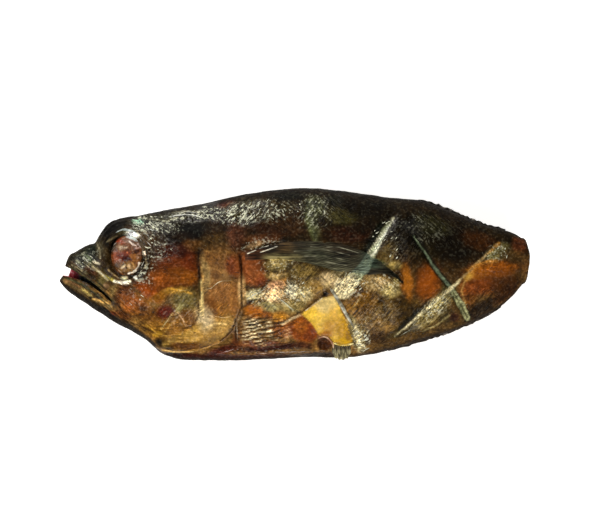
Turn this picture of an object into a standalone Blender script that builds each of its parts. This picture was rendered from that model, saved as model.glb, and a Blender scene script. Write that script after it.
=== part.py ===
"""Smoked fish without its tail fin, lying on its right flank: body, dried eyes and pressed fins.

The head points along -X, the back along +Y, and the left flank faces up. The origin lies on the
supporting surface, under the middle of the fish. Sizes are in millimetres, and solid_object
turns them to metres.
"""

import math

import bmesh
import bpy
import numpy as np

MM = 0.001
LENGTH = 235.0
GAP = 0.35  # clearance between two neighbouring solids

# Body outline seen from above, as (x, y) points of a smooth curve.
BACK_OUTLINE = (
    (-117.5, -2.4), (-116.0, 0.2), (-114.6, 5.0), (-113.2, 8.6), (-109.5, 11.5),
    (-103.5, 14.7), (-99.6, 16.4), (-97.0, 20.8), (-94.0, 24.8), (-88.0, 27.6),
    (-77.0, 29.5), (-62.0, 32.5), (-47.0, 35.0), (-22.0, 40.4), (8.0, 43.0),
    (30.0, 40.8), (48.0, 38.0), (66.0, 35.6), (78.0, 31.0), (95.0, 24.2),
    (107.0, 21.6), (113.5, 18.0), (116.4, 15.4), (117.5, 12.0),
)
BELLY_OUTLINE = (
    (-117.5, -4.6), (-115.8, -6.5), (-110.0, -11.0), (-98.0, -19.0), (-90.0, -23.9),
    (-81.0, -28.6), (-74.0, -33.2), (-67.5, -38.9), (-60.0, -41.8), (-42.0, -43.0),
    (-12.0, -42.0), (5.0, -41.1), (27.0, -41.3), (44.0, -38.3), (62.0, -33.0),
    (80.0, -27.4), (96.0, -20.2), (107.0, -12.8), (114.0, -5.0), (116.6, -1.0), (117.5, 2.4),
)
# Half thickness of the upper and of the lower flank, and the height of the plane between them.
UPPER_HALF = (
    (-117.5, 2.2), (-114.0, 4.6), (-108.0, 6.6), (-98.0, 9.4), (-83.0, 13.4), (-64.0, 16.4),
    (-40.0, 18.8), (5.0, 20.6), (40.0, 18.4), (75.0, 13.0), (102.0, 8.4), (117.5, 5.6),
)
LOWER_HALF = (
    (-117.5, 2.2), (-114.0, 4.4), (-108.0, 6.2), (-98.0, 8.8), (-83.0, 12.4), (-64.0, 15.4),
    (-40.0, 17.8), (5.0, 19.6), (40.0, 17.6), (75.0, 12.6), (102.0, 8.2), (117.5, 5.4),
)
MID_HEIGHT = ((-117.5, 15.4), (-83.0, 16.0), (-40.0, 16.6), (5.0, 17.2), (60.0, 16.0), (117.5, 14.6))
BACK_FULLNESS = 0.14  # how much thicker the section is towards the back than towards the belly
FLANK_ROUNDNESS = 0.84  # 1 is an ellipse, less is flatter across the flank

# Gaping mouth, at the plane between the flanks: the gap's middle line as (x, y, height of the gap),
# and the root of the tongue between the two slots as (x, half thickness).
GAPE = (
    (-121.0, 2.8, 5.6), (-113.5, 1.0, 4.4), (-108.0, -1.3, 3.0), (-103.0, -3.6, 2.1),
    (-98.5, -6.6, 1.7), (-94.0, -10.4, 1.4), (-90.6, -13.8, 1.0),
)
TONGUE_HALF = ((-121.0, -0.3), (-107.0, -0.3), (-104.0, 0.6), (-90.6, 3.2))
GAPE_STEPS = 20
GAPE_CLEAR = 30.0  # how far each slot's cutter stands out past the flank

# Dried eyeball in its socket, with the rim that stands round it.
EYE_CENTRE = (-82.8, 9.2)
EYE_HALF = (8.6, 10.2, 5.4)
EYE_SINK = 2.6  # from the flank down to the eye's centre
EYE_LEAN = (0.21, -0.09)  # rise of the eye's middle plane, like the flank's, along x and along y
SOCKET_RIM_HALF = (10.6, 12.8)
SOCKET_RIM_HEIGHT = 1.1
SOCKET_DENT = 1.0

# Rear edge of the gill cover, as (x, y) points, and how far the cover stands over the flank there.
GILL_EDGE = (
    (-27.5, 22.0), (-26.6, 9.5), (-25.7, -13.0), (-27.0, -19.0), (-30.8, -28.0),
    (-36.5, -33.2), (-47.5, -37.4), (-66.0, -39.5),
)
GILL_STEP = 2.0
GILL_STEP_REACH = 24.0  # over this length the step fades towards the snout

# Lines as (points, width, height) and mounds as (x, y, half length, half width, height).
HEAD_LINES = (
    (((-44.5, 22.0), (-46.4, 12.0), (-47.4, 5.0), (-46.4, -3.0), (-45.4, -16.0)), 1.9, -1.4),  # cheek
    (((-112.5, 5.6), (-103.0, 0.6), (-94.0, -6.2)), 2.4, 0.9),  # bone over the upper lip
)
HEAD_MOUNDS = (
    (-58.0, 2.0, 11.0, 15.0, 1.3),  # cheek
)
# The net that the fish hung in left grooves, and a strand of skin where it lifted.
FLANK_LINES = (
    (((48.3, 28.0), (38.0, 10.0), (31.0, -1.0), (23.5, -7.5)), 2.0, -1.1),
    (((58.8, 19.0), (68.0, 5.0), (77.5, -7.0), (86.5, -22.0)), 2.0, -1.1),
    (((50.0, -31.0), (75.0, -9.4), (89.0, 3.8), (102.0, 15.0)), 2.0, -1.1),
    (((17.0, -7.0), (30.2, -30.5), (33.6, -36.5)), 1.5, 0.7),
)
BELLY_HOLLOW = (15.0, -33.6)
FLANK_MOUNDS = (
    (37.0, -21.0, 13.0, 12.0, 1.4),  # flank bulging between the grooves
    (*BELLY_HOLLOW, 3.0, 3.0, -2.6),
    (15.2, -9.0, 2.0, 2.0, -1.5),  # small hole at the head of the strand
)
HOLLOW_RIM = (5.2, 1.3, 0.8)  # radius, width and height of the curled skin round the hollow

# Fins: (x, y) points of each edge, and sizes.
PECTORAL_UPPER = ((-24.0, 11.0), (-8.0, 15.2), (10.0, 16.2), (28.0, 13.5), (42.0, 6.6), (53.5, -3.4))
PECTORAL_LOWER = ((-24.0, 6.6), (-8.0, 7.6), (10.0, 4.8), (25.0, 0.6), (41.0, -2.6), (53.5, -4.6))
PECTORAL_THICKNESS = 0.8
PECTORAL_POCKET = 1.7  # depth of the dent that the hidden pectoral fin is pressed into
PELVIC_ROOT = (23.4, -35.6)
PELVIC_SIZE = (8.4, 8.2, 1.0)
DORSAL_RANGE = (61.0, 105.0)
ANAL_RANGE = (46.0, 103.0)
RIDGE_HEIGHT = 1.5
RIDGE_THICKNESS = 1.3

STATIONS = 96
END_CROWDING = 0.78  # 0 spaces the stations evenly, 1 gathers them at the snout and at the tail
UPPER_STEPS = 22
LOWER_STEPS = 12


def smooth_curve(points):
    """A function of x that runs smoothly through the points."""
    xs, values = np.array(points, dtype=float).T
    slopes = np.gradient(values, xs)

    def at(x):
        x = np.clip(x, xs[0], xs[-1])
        left = np.clip(np.searchsorted(xs, x) - 1, 0, len(xs) - 2)
        span = xs[left + 1] - xs[left]
        t = (x - xs[left]) / span
        rise = values[left + 1] - values[left]
        bow = (1 - t) * (slopes[left] * span - rise) - t * (slopes[left + 1] * span - rise)
        return values[left] + t * rise + t * (1 - t) * bow

    return at


back_at = smooth_curve(BACK_OUTLINE)
belly_at = smooth_curve(BELLY_OUTLINE)
upper_half_at = smooth_curve(UPPER_HALF)
lower_half_at = smooth_curve(LOWER_HALF)
mid_height_at = smooth_curve(MID_HEIGHT)


def ease(start, end, value):
    """0 before start, 1 past end, smooth between."""
    t = np.clip((value - start) / (end - start), 0, 1)
    return t * t * (3 - 2 * t)


def bump(distance, width):
    """1 on the line, fading to 0 about two widths away."""
    return np.exp(-((distance / width) ** 2))


def path_distance(x, y, path):
    """Distance from each (x, y) to a line through the points of the path."""
    nearest = np.full(np.broadcast(x, y).shape, np.inf)
    for (x0, y0), (x1, y1) in zip(path, path[1:]):
        dx, dy = x1 - x0, y1 - y0
        t = np.clip(((x - x0) * dx + (y - y0) * dy) / (dx * dx + dy * dy), 0, 1)
        nearest = np.minimum(nearest, np.hypot(x - x0 - t * dx, y - y0 - t * dy))
    return nearest


def ahead_of_gill_edge(x, y):
    """Distance forward of the gill cover's rear edge, negative behind it."""
    edge_y, edge_x = np.array(GILL_EDGE[::-1])[:, 1], np.array(GILL_EDGE[::-1])[:, 0]
    forward = np.interp(y, edge_y, edge_x) - x
    return np.sign(forward) * path_distance(x, y, GILL_EDGE)


def relief_of(x, y, lines, mounds):
    """Summed height of the lines and mounds over the plain flank."""
    height = 0 * x + 0 * y
    for path, width, rise in lines:
        height = height + rise * bump(path_distance(x, y, path), width)
    for centre_x, centre_y, half_x, half_y, rise in mounds:
        height = height + rise * bump(np.hypot((x - centre_x) / half_x, (y - centre_y) / half_y), 1)
    return height


def head_relief(x, y):
    """Height of the eye's rim, the gill cover and the other bones of the head over the plain flank."""
    rim = np.hypot((x - EYE_CENTRE[0]) / SOCKET_RIM_HALF[0], (y - EYE_CENTRE[1]) / SOCKET_RIM_HALF[1])
    forward = ahead_of_gill_edge(x, y)
    cover = ease(-0.9, 0.9, forward) * np.exp(-np.maximum(forward, 0) / GILL_STEP_REACH)
    height = SOCKET_RIM_HEIGHT * bump(rim - 0.98, 0.17) - SOCKET_DENT * ease(0.95, 0.6, rim)
    return height + GILL_STEP * cover + relief_of(x, y, HEAD_LINES, HEAD_MOUNDS)


def flank_relief(x, y):
    """Height of the net's marks and of the torn belly over the plain shown flank."""
    radius, width, rise = HOLLOW_RIM
    hollow = np.hypot(x - BELLY_HOLLOW[0], y - BELLY_HOLLOW[1])
    return relief_of(x, y, FLANK_LINES, FLANK_MOUNDS) + rise * bump(hollow - radius, width)


def flank_height(x, y, side):
    """Height of the upper (side 1) or lower (side -1) flank over each (x, y)."""
    back, belly = back_at(x), belly_at(x)
    across = np.clip((2 * y - back - belly) / (back - belly), -1, 1)
    rise = (1 - across**2) ** (FLANK_ROUNDNESS / 2)
    half = upper_half_at(x) if side > 0 else lower_half_at(x)
    relief = head_relief(x, y) + (flank_relief(x, y) if side > 0 else 0)
    bulge = half * rise * (1 + BACK_FULLNESS * across) + relief * ease(0.25, 0.7, rise)
    return np.maximum(mid_height_at(x) + side * bulge, 0)


def clear_height(x, y):
    """The highest point of the upper flank close round (x, y), which a blade lying there clears."""
    turns = np.linspace(0, 2 * math.pi, 12, endpoint=False)
    near = flank_height(x + 1.6 * np.cos(turns), y + 1.6 * np.sin(turns), 1)
    return max(float(near.max()) - 0.25, float(flank_height(x, y, 1)))


def solid_object(name, points, faces, color, roughness):
    """A mesh object of the closed surface, with a material of its own."""
    mesh = bpy.data.meshes.new(name)
    mesh.from_pydata([tuple(MM * float(value) for value in point) for point in points], [], faces)
    work = bmesh.new()
    work.from_mesh(mesh)
    bmesh.ops.recalc_face_normals(work, faces=work.faces)
    work.to_mesh(mesh)
    work.free()
    mesh.shade_smooth()
    mesh.set_sharp_from_angle(angle=math.radians(50))
    material = bpy.data.materials.new(name + "_material")
    material.use_nodes = True
    shader = material.node_tree.nodes["Principled BSDF"]
    shader.inputs["Base Color"].default_value = (*color, 1)
    shader.inputs["Roughness"].default_value = roughness
    shader.inputs["Metallic"].default_value = 0
    mesh.materials.append(material)
    item = bpy.data.objects.new(name, mesh)
    bpy.context.scene.collection.objects.link(item)
    return item


def cut(item, cutter):
    """Takes the cutter's shape out of the item, and keeps the cutter as a hidden helper."""
    cutter.hide_render = True
    cutter.display_type = "WIRE"
    modifier = item.modifiers.new(cutter.name, "BOOLEAN")
    modifier.operation = "DIFFERENCE"
    modifier.object = cutter


def tube_faces(rings, steps):
    """Faces of a tube of closed rings, with a flat cap at each end."""
    faces = []
    for ring in range(rings - 1):
        for step in range(steps):
            following = (step + 1) % steps
            near, far = ring * steps, (ring + 1) * steps
            faces.append((near + step, near + following, far + following, far + step))
    faces.append(tuple(range(steps)))
    faces.append(tuple(range((rings - 1) * steps, rings * steps)))
    return faces


def make_body():
    """Both flanks as one closed skin, with stations set closer at the snout and at the tail."""
    points = []
    for station in range(STATIONS + 1):
        u = station / STATIONS
        x = LENGTH * (u - END_CROWDING * math.sin(2 * math.pi * u) / (2 * math.pi) - 0.5)
        back, belly = float(back_at(x)), float(belly_at(x))
        for step in range(UPPER_STEPS + LOWER_STEPS):
            upper = step <= UPPER_STEPS
            turn = step / UPPER_STEPS if upper else 1 - (step - UPPER_STEPS) / LOWER_STEPS
            y = (back + belly) / 2 + (back - belly) / 2 * math.cos(math.pi * turn)
            points.append((x, y, float(flank_height(x, y, 1 if upper else -1))))
    faces = tube_faces(STATIONS + 1, UPPER_STEPS + LOWER_STEPS)
    return solid_object("body", points, faces, (0.16, 0.09, 0.035), 0.35)


def make_mouth_cutter(name, side):
    """A curved slot from one flank in to the tongue, which narrows to the corner of the mouth."""
    xs, ys, heights = np.array(GAPE).T
    tongue_x, tongue_half = np.array(TONGUE_HALF).T
    middle_line = smooth_curve(list(zip(xs, ys)))
    jaws = float(mid_height_at(xs[1]))
    points = []
    for x in np.linspace(xs[0], xs[-1], GAPE_STEPS):
        slope = float(middle_line(x + 0.5)) - float(middle_line(x - 0.5))
        across = np.array((-slope, 1.0)) / math.hypot(1, slope) * float(np.interp(x, xs, heights)) / 2
        spot = np.array((x, float(middle_line(x))))
        near = jaws + side * float(np.interp(x, tongue_x, tongue_half))
        far = jaws + side * GAPE_CLEAR
        for sign, z in ((-1, near), (1, near), (1, far), (-1, far)):
            points.append((*(spot + sign * across), z))
    return solid_object(name, points, tube_faces(GAPE_STEPS, 4), (0, 0, 0), 1)


def make_eye(name, side, grow=0.0):
    """An ellipsoid that leans with the flank, sunk into the head on the given side."""
    half = [size + grow for size in EYE_HALF]
    centre_z = float(flank_height(*EYE_CENTRE, side)) - side * EYE_SINK
    rings, steps = 10, 18
    points = []
    for ring in range(1, rings):
        polar = math.pi * ring / rings
        for step in range(steps):
            turn = 2 * math.pi * step / steps
            along = half[0] * math.sin(polar) * math.cos(turn)
            across = half[1] * math.sin(polar) * math.sin(turn)
            lean = side * (EYE_LEAN[0] * along + EYE_LEAN[1] * across)
            points.append((
                EYE_CENTRE[0] + along, EYE_CENTRE[1] + across, centre_z + lean + half[2] * math.cos(polar),
            ))
    return solid_object(name, points, tube_faces(rings - 1, steps), (0.22, 0.07, 0.03), 0.2)


def make_pectoral_fin(name, side, grow=0.0):
    """A thin blade pressed against the flank, or the space that it needs where grow is set."""
    upper_at, lower_at = smooth_curve(PECTORAL_UPPER), smooth_curve(PECTORAL_LOWER)
    root, tip = PECTORAL_UPPER[0][0] - grow, PECTORAL_UPPER[-1][0] + grow
    columns, rows = 20, 4
    points = []
    for column in range(columns + 1):
        x = root + (tip - root) * column / columns
        top, bottom = float(upper_at(x)) + grow, float(lower_at(x)) - grow
        for turn in range(2 * rows + 2):
            inner = turn <= rows
            row = turn if inner else 2 * rows + 1 - turn
            y = bottom + (top - bottom) * row / rows
            skin = clear_height(x, y) if side > 0 else float(flank_height(x, y, side))
            if side > 0:
                z = skin + GAP + (0 if inner else PECTORAL_THICKNESS)
            elif grow:
                z = skin + PECTORAL_POCKET if inner else -2.0
            else:
                z = skin + PECTORAL_POCKET - GAP - (0 if inner else PECTORAL_THICKNESS)
            points.append((x, y, z))
    faces = tube_faces(columns + 1, 2 * rows + 2)
    return solid_object(name, points, faces, (0.05, 0.055, 0.045), 0.45)


def make_pelvic_fin():
    """A stub of dried fin that lies over the edge of the belly and stands out past it."""
    width, length, thickness = PELVIC_SIZE
    x, y = PELVIC_ROOT
    columns = 6
    start = float(flank_height(x, y, 1)) + GAP + 0.5
    slope = (float(flank_height(x, y, 1)) - float(flank_height(x, y - 1.5, 1))) / 1.5
    fall = np.array((-1.0, -slope)) / math.hypot(1, slope)
    lift = np.array((-fall[1], fall[0])) * -1
    points = []
    for column in range(columns + 1):
        u = column / columns
        spread = (0.8 + 0.2 * math.sin(math.pi * min(1, 1.4 * u))) * width / 2
        for edge, layer in ((-1, 0), (1, 0), (1, 1), (-1, 1)):
            spot = fall * length * u + lift * thickness * layer * (1 - 0.4 * u)
            points.append((x + edge * spread, y + spot[0], start + spot[1]))
    return solid_object("pelvic_fin", points, tube_faces(columns + 1, 4), (0.14, 0.13, 0.08), 0.4)


def make_ridge_fin(name, span, edge_at, outward):
    """A dried fin folded to a low ragged ridge along the back or along the belly."""
    columns = 44
    points = []
    for column in range(columns + 1):
        u = column / columns
        x = span[0] + (span[1] - span[0]) * u
        ragged = 0.74 + 0.18 * math.sin(2.1 * column) + 0.08 * math.sin(5.3 * column + 1)
        height = RIDGE_HEIGHT * ragged * min(1, 7 * u + 0.3, 7 * (1 - u) + 0.3)
        slope = (float(edge_at(x + 0.5)) - float(edge_at(x - 0.5))) * outward
        foot = float(edge_at(x)) * outward + GAP * math.hypot(1, slope) + 0.1
        middle = float(mid_height_at(x))
        for lean, top in ((-1, 0), (1, 0), (0.5, 1), (-0.5, 1)):
            y = outward * (foot + height * top)
            points.append((x, y, middle + lean * RIDGE_THICKNESS / 2))
    return solid_object(name, points, tube_faces(columns + 1, 4), (0.04, 0.03, 0.022), 0.5)


def main():
    for old in list(bpy.data.objects):
        bpy.data.objects.remove(old, do_unlink=True)
    body = make_body()
    for name, side in (("left", 1), ("right", -1)):
        cut(body, make_mouth_cutter("mouth_cutter_" + name, side))
        make_eye("eye_" + name, side)
        cut(body, make_eye("socket_cutter_" + name, side, grow=GAP))
        make_pectoral_fin("pectoral_fin_" + name, side)
    cut(body, make_pectoral_fin("pocket_cutter", -1, grow=0.8))
    make_pelvic_fin()
    make_ridge_fin("dorsal_fin", DORSAL_RANGE, back_at, 1)
    make_ridge_fin("anal_fin", ANAL_RANGE, belly_at, -1)


main()
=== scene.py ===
import itertools
import math
import bmesh
import bpy
import numpy as np
from mathutils.bvhtree import BVHTree
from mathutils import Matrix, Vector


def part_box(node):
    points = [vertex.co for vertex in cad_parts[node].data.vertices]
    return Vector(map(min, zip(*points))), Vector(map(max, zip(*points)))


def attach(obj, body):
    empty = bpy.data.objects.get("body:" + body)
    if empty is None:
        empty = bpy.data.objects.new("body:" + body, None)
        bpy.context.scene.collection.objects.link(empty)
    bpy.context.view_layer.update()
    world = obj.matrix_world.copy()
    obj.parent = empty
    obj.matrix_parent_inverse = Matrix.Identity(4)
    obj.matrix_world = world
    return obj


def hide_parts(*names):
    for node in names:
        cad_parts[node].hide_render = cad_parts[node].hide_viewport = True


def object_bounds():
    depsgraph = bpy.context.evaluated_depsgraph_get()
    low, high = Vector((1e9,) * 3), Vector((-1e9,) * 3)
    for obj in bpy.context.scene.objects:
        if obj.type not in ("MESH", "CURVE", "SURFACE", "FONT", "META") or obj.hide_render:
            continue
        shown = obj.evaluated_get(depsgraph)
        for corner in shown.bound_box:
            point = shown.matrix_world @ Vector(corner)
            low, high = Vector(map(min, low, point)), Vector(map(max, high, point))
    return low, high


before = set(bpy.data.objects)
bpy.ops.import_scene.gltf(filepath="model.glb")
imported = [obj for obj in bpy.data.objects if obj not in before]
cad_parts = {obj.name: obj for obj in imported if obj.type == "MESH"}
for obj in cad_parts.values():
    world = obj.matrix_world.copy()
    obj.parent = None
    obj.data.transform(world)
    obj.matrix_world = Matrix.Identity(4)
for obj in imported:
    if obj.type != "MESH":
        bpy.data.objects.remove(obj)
cad_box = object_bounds()

# -----------------------------------------------------------------------------
# The fish's body: one whole fish, gutted, salted, hung in a net and hot smoked. Its skin shrank
# and darkened over the flesh, kept its silver only where the net's cords lay on it, and tore a
# little at the belly. It lies on its right flank, and the left one is on show.
# -----------------------------------------------------------------------------
MM = 0.001
body_low, body_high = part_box("body")
LENGTH = (body_high[0] - body_low[0]) / MM

# The frame's own outline and thickness: (x, y) or (x, half thickness) in millimetres.
BACK_OUTLINE = (
    (-117.5, -2.0), (-116.0, 0.4), (-115.0, 5.0), (-113.7, 8.0), (-109.7, 11.2),
    (-103.5, 14.7), (-99.6, 16.4), (-97.0, 20.8), (-94.0, 24.8), (-88.0, 27.6),
    (-77.0, 29.5), (-62.0, 32.5), (-47.0, 35.0), (-22.0, 40.4), (8.0, 43.0),
    (30.0, 40.8), (48.0, 38.2), (66.0, 36.3), (78.0, 31.6), (95.0, 24.8),
    (107.0, 21.6), (113.5, 18.4), (116.8, 15.6), (117.5, 13.0),
)
BELLY_OUTLINE = (
    (-117.5, -4.8), (-115.8, -6.9), (-110.0, -11.4), (-98.0, -19.4), (-90.0, -24.5),
    (-81.0, -29.0), (-74.0, -33.6), (-67.5, -39.3), (-60.0, -42.2), (-42.0, -43.3),
    (-12.0, -42.6), (5.0, -41.6), (27.0, -41.8), (44.0, -39.2), (62.0, -33.8),
    (80.0, -28.1), (96.0, -20.6), (107.0, -13.5), (114.0, -5.8), (117.0, -1.2), (117.5, 1.4),
)
UPPER_HALF = (
    (-117.5, 2.2), (-114.0, 4.6), (-108.0, 6.6), (-98.0, 9.4), (-83.0, 13.4), (-64.0, 16.4),
    (-40.0, 18.8), (5.0, 20.6), (40.0, 18.4), (75.0, 13.0), (102.0, 8.4), (117.5, 5.6),
)
LOWER_HALF = (
    (-117.5, 2.2), (-114.0, 4.4), (-108.0, 6.2), (-98.0, 8.8), (-83.0, 12.4), (-64.0, 15.4),
    (-40.0, 17.8), (5.0, 19.6), (40.0, 17.6), (75.0, 12.6), (102.0, 8.2), (117.5, 5.4),
)
MID_HEIGHT = ((-117.5, 15.4), (-83.0, 16.0), (-40.0, 16.6), (5.0, 17.2), (60.0, 16.0), (117.5, 14.6))
BACK_FULLNESS = 0.14  # the share by which the section thickens to the back and thins to the belly
FLANK_ROUNDNESS = 0.84  # 1 is an ellipse, less is flatter across the flank

EYE_CENTRE = (-82.8, 9.2)
SOCKET_HALF = (10.6, 12.8)
GILL_STEP = 2.0  # how far the gill cover stands over the flank behind it
GILL_STEP_REACH = 24  # over this length the step fades towards the snout
GILL_EDGE = (
    (-27.5, 22.0), (-26.6, 9.5), (-25.7, -13.0), (-27.0, -19.0), (-30.8, -28.0),
    (-36.5, -33.2), (-47.5, -37.4), (-66.0, -39.5),
)
CHEEK_GROOVE = ((-44.5, 22.0), (-46.4, 12.0), (-47.4, 5.0), (-46.4, -3.0), (-45.4, -16.0))
CHEEK_BULGE = (-58, 2, 11, 15)  # (x, y, half length, half width)
LIP_RIDGE = ((-112.5, 5.6), (-103.0, 0.6), (-94.0, -6.2))
JAW_RIDGE = ((-114.5, -5.0), (-104.0, -9.6), (-92.0, -17.0))
GAPE = (  # the open mouth's middle line, as (x, y, height of the gap)
    (-121.0, 2.8, 5.6), (-113.5, 1.0, 4.4), (-108.0, -1.3, 3.0), (-103.0, -3.6, 2.1),
    (-98.5, -6.6, 1.7), (-94.0, -10.4, 1.4), (-90.6, -13.8, 1.0),
)
TONGUE_HALF = ((-121.0, -0.3), (-107.0, -0.3), (-104.0, 0.6), (-90.6, 3.2))  # (x, half thickness)
NET_MARKS = {
    "broad": ((48.3, 28.0), (43.5, 20.0), (38.0, 10.0), (34.0, 3.0), (29.0, -2.5), (23.5, -7.5)),
    "steep": ((58.8, 19.0), (68.0, 5.0), (77.5, -7.0), (82.5, -15.0), (86.5, -22.0)),
    "cross": ((50.0, -31.0), (59.0, -23.0), (75.0, -9.4), (89.0, 3.8), (102.0, 15.0)),
}
NET_DEPTH = 1.1
FLANK_BULGE = (37, -21, 13, 12)
STRAND = ((17.6, -6.6), (22.0, -13.5), (26.7, -21.7), (29.4, -26.6))
STRAND_HOLE = (15.2, -9.2)
BELLY_HOLLOW = (15.0, -34.2)
GOLD_PANEL = (
    (19.2, -10.4), (12.6, -12.2), (3.8, -19.6), (9.0, -24.4), (12.2, -29.6), (14.0, -31.0),
    (19.6, -34.2), (24.0, -35.0), (29.0, -34.2), (25.6, -23.6), (21.8, -15.0),
)
RUST_PANEL = (
    (-3.4, -24.5), (3.6, -19.8), (9.0, -24.4), (12.2, -29.6), (9.0, -33.4), (1.0, -33.0), (-3.0, -29.0),
)

STATIONS = 404  # rings from the snout to the cut tail
UPPER_STEPS = 168
LOWER_STEPS = 56
SECTION_SAMPLES = 400  # of each flank, before its points are spread evenly
END_CROWDING = 0.45  # 0 spaces the rings evenly, 1 gathers them at the snout and at the tail
CAP_RINGS = 6
CAP_BULGE = 0.6


def smooth_curve(points):
    """A function of x that runs smoothly through the points."""
    xs, values = np.array(points, dtype=float).T
    slopes = np.gradient(values, xs)

    def at(x):
        x = np.clip(x, xs[0], xs[-1])
        left = np.clip(np.searchsorted(xs, x) - 1, 0, len(xs) - 2)
        span = xs[left + 1] - xs[left]
        t = (x - xs[left]) / span
        rise = values[left + 1] - values[left]
        bow = (1 - t) * (slopes[left] * span - rise) - t * (slopes[left + 1] * span - rise)
        return values[left] + t * rise + t * (1 - t) * bow

    return at


back_at = smooth_curve(BACK_OUTLINE)
belly_at = smooth_curve(BELLY_OUTLINE)
upper_half_at = smooth_curve(UPPER_HALF)
lower_half_at = smooth_curve(LOWER_HALF)
mid_height_at = smooth_curve(MID_HEIGHT)


def ease(start, end, value):
    """0 before start, 1 past end, smooth between."""
    t = np.clip((value - start) / (end - start), 0, 1)
    return t * t * (3 - 2 * t)


def bump(distance, width):
    """1 on the line, fading to 0 about two widths away."""
    return np.exp(-((distance / width) ** 2))


def mound(x, y, centre_x, centre_y, half_x, half_y):
    """1 in the middle of an oval swelling, fading out past its rim."""
    return bump(np.hypot((x - centre_x) / half_x, (y - centre_y) / half_y), 1)


def along_path(x, y, path):
    """Distance from a line of points, the side (1 left, -1 right of its way), and how far along it."""
    x, y = np.broadcast_arrays(np.asarray(x, float), np.asarray(y, float))
    nearest, side, reached = np.full(x.shape, np.inf), np.zeros(x.shape), np.zeros(x.shape)
    for step, ((x0, y0), (x1, y1)) in enumerate(zip(path, path[1:])):
        dx, dy = x1 - x0, y1 - y0
        t = np.clip(((x - x0) * dx + (y - y0) * dy) / (dx * dx + dy * dy), 0, 1)
        off_x, off_y = x - x0 - t * dx, y - y0 - t * dy
        distance = np.hypot(off_x, off_y)
        closer = distance < nearest
        nearest = np.where(closer, distance, nearest)
        side = np.where(closer, np.sign(dx * off_y - dy * off_x), side)
        reached = np.where(closer, (step + t) / (len(path) - 1), reached)
    return nearest, side, reached


def inside_field(x, y, corners):
    """Distance in from the rim of a closed field of corners, negative outside it."""
    closed = corners + corners[:1]
    x, y = np.broadcast_arrays(np.asarray(x, float), np.asarray(y, float))
    inside = np.zeros(x.shape, bool)
    for (x0, y0), (x1, y1) in zip(closed, closed[1:]):
        crosses = (y0 > y) != (y1 > y)
        inside ^= crosses & (x < x0 + (x1 - x0) * (y - y0) / (y1 - y0 + 1e-9))
    return np.where(inside, 1, -1) * along_path(x, y, closed)[0]


def ripple(points, size, seed):
    """Smooth random values from -1 to 1 over points in space, turning over about size millimetres."""
    table = np.random.default_rng(seed).uniform(-1, 1, (32, 32, 32))
    cell = points / size
    base = np.floor(cell).astype(int)
    blend = cell - base
    blend = blend * blend * (3 - 2 * blend)
    total = np.zeros(len(points))
    for corner in itertools.product((0, 1), repeat=3):
        weight = np.prod(np.where(corner, blend, 1 - blend), axis=1)
        i, j, k = ((base + corner) % 32).T
        total += weight * table[i, j, k]
    return total


def cloud(points, size, seed, octaves=4):
    """Ripples of halving size laid over each other."""
    return sum(ripple(points, size / 2**n, seed + n) / 2**n for n in range(octaves)) / 1.6


def ahead_of_gill_edge(x, y):
    """Distance forward of the gill cover's rear edge, negative behind it."""
    edge_x, edge_y = np.array(GILL_EDGE[::-1]).T
    forward = np.interp(y, edge_y, edge_x) - x
    return np.sign(forward) * along_path(x, y, GILL_EDGE)[0]


def head_relief(x, y):
    """Height of the eye's rim, the gill cover, the jaws and the cheek over the plain flank."""
    rim = np.hypot((x - EYE_CENTRE[0]) / SOCKET_HALF[0], (y - EYE_CENTRE[1]) / SOCKET_HALF[1])
    forward = ahead_of_gill_edge(x, y)
    lip = 0.5 + 3.5 * ease(6, 18, y)  # the cover's edge is blended into the shoulder high up
    cover = ease(-lip, lip, forward) * np.exp(-np.maximum(forward, 0) / GILL_STEP_REACH)
    height = 1.1 * bump(rim - 0.98, 0.17) - 1.0 * ease(0.95, 0.6, rim)
    height = height + GILL_STEP * cover - 0.4 * bump(forward + 1.0, 0.8) * ease(14, 6, y)
    height = height - 1.4 * bump(along_path(x, y, CHEEK_GROOVE)[0], 1.9) * ease(20, 8, y)
    height = height + 1.3 * mound(x, y, *CHEEK_BULGE)
    height = height + 0.9 * bump(along_path(x, y, LIP_RIDGE)[0], 2.0)
    height = height + 0.6 * bump(along_path(x, y, JAW_RIDGE)[0], 1.8)
    return height - 1.1 * bump(along_path(x, y, [spot[:2] for spot in GAPE[1:]])[0], 1.7)


def flank_relief(x, y):
    """Height of the net's marks, the panel of bare flesh and the torn belly over the shown flank."""
    height = 1.4 * mound(x, y, *FLANK_BULGE)
    for name, width in (("broad", 2.4), ("steep", 1.5), ("cross", 1.7)):
        height = height - NET_DEPTH * bump(along_path(x, y, NET_MARKS[name])[0], width)
    height = height + 0.7 * bump(along_path(x, y, STRAND)[0], 1.5)
    hollow = np.hypot(x - BELLY_HOLLOW[0], y - BELLY_HOLLOW[1])
    height = height - 2.8 * bump(hollow, 3.0) + 0.8 * bump(hollow - 4.6, 1.1)
    height = height - 1.6 * bump(np.hypot(x - STRAND_HOLE[0], y - STRAND_HOLE[1]), 1.4)
    return height - 0.5 * ease(-0.2, 1.0, inside_field(x, y, GOLD_PANEL))


def flank_height(x, y, side):
    """Height of the upper (side 1) or lower (side -1) flank over each (x, y)."""
    back, belly = back_at(x), belly_at(x)
    across = np.clip((2 * y - back - belly) / (back - belly), -1, 1)
    rise = (1 - across**2) ** (FLANK_ROUNDNESS / 2)
    half = upper_half_at(x) if side > 0 else lower_half_at(x)
    relief = head_relief(x, y) + (flank_relief(x, y) if side > 0 else 0)
    bulge = half * rise * (1 + BACK_FULLNESS * across) + relief * ease(0.25, 0.7, rise)
    return np.maximum(mid_height_at(x) + side * bulge, 0)


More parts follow.
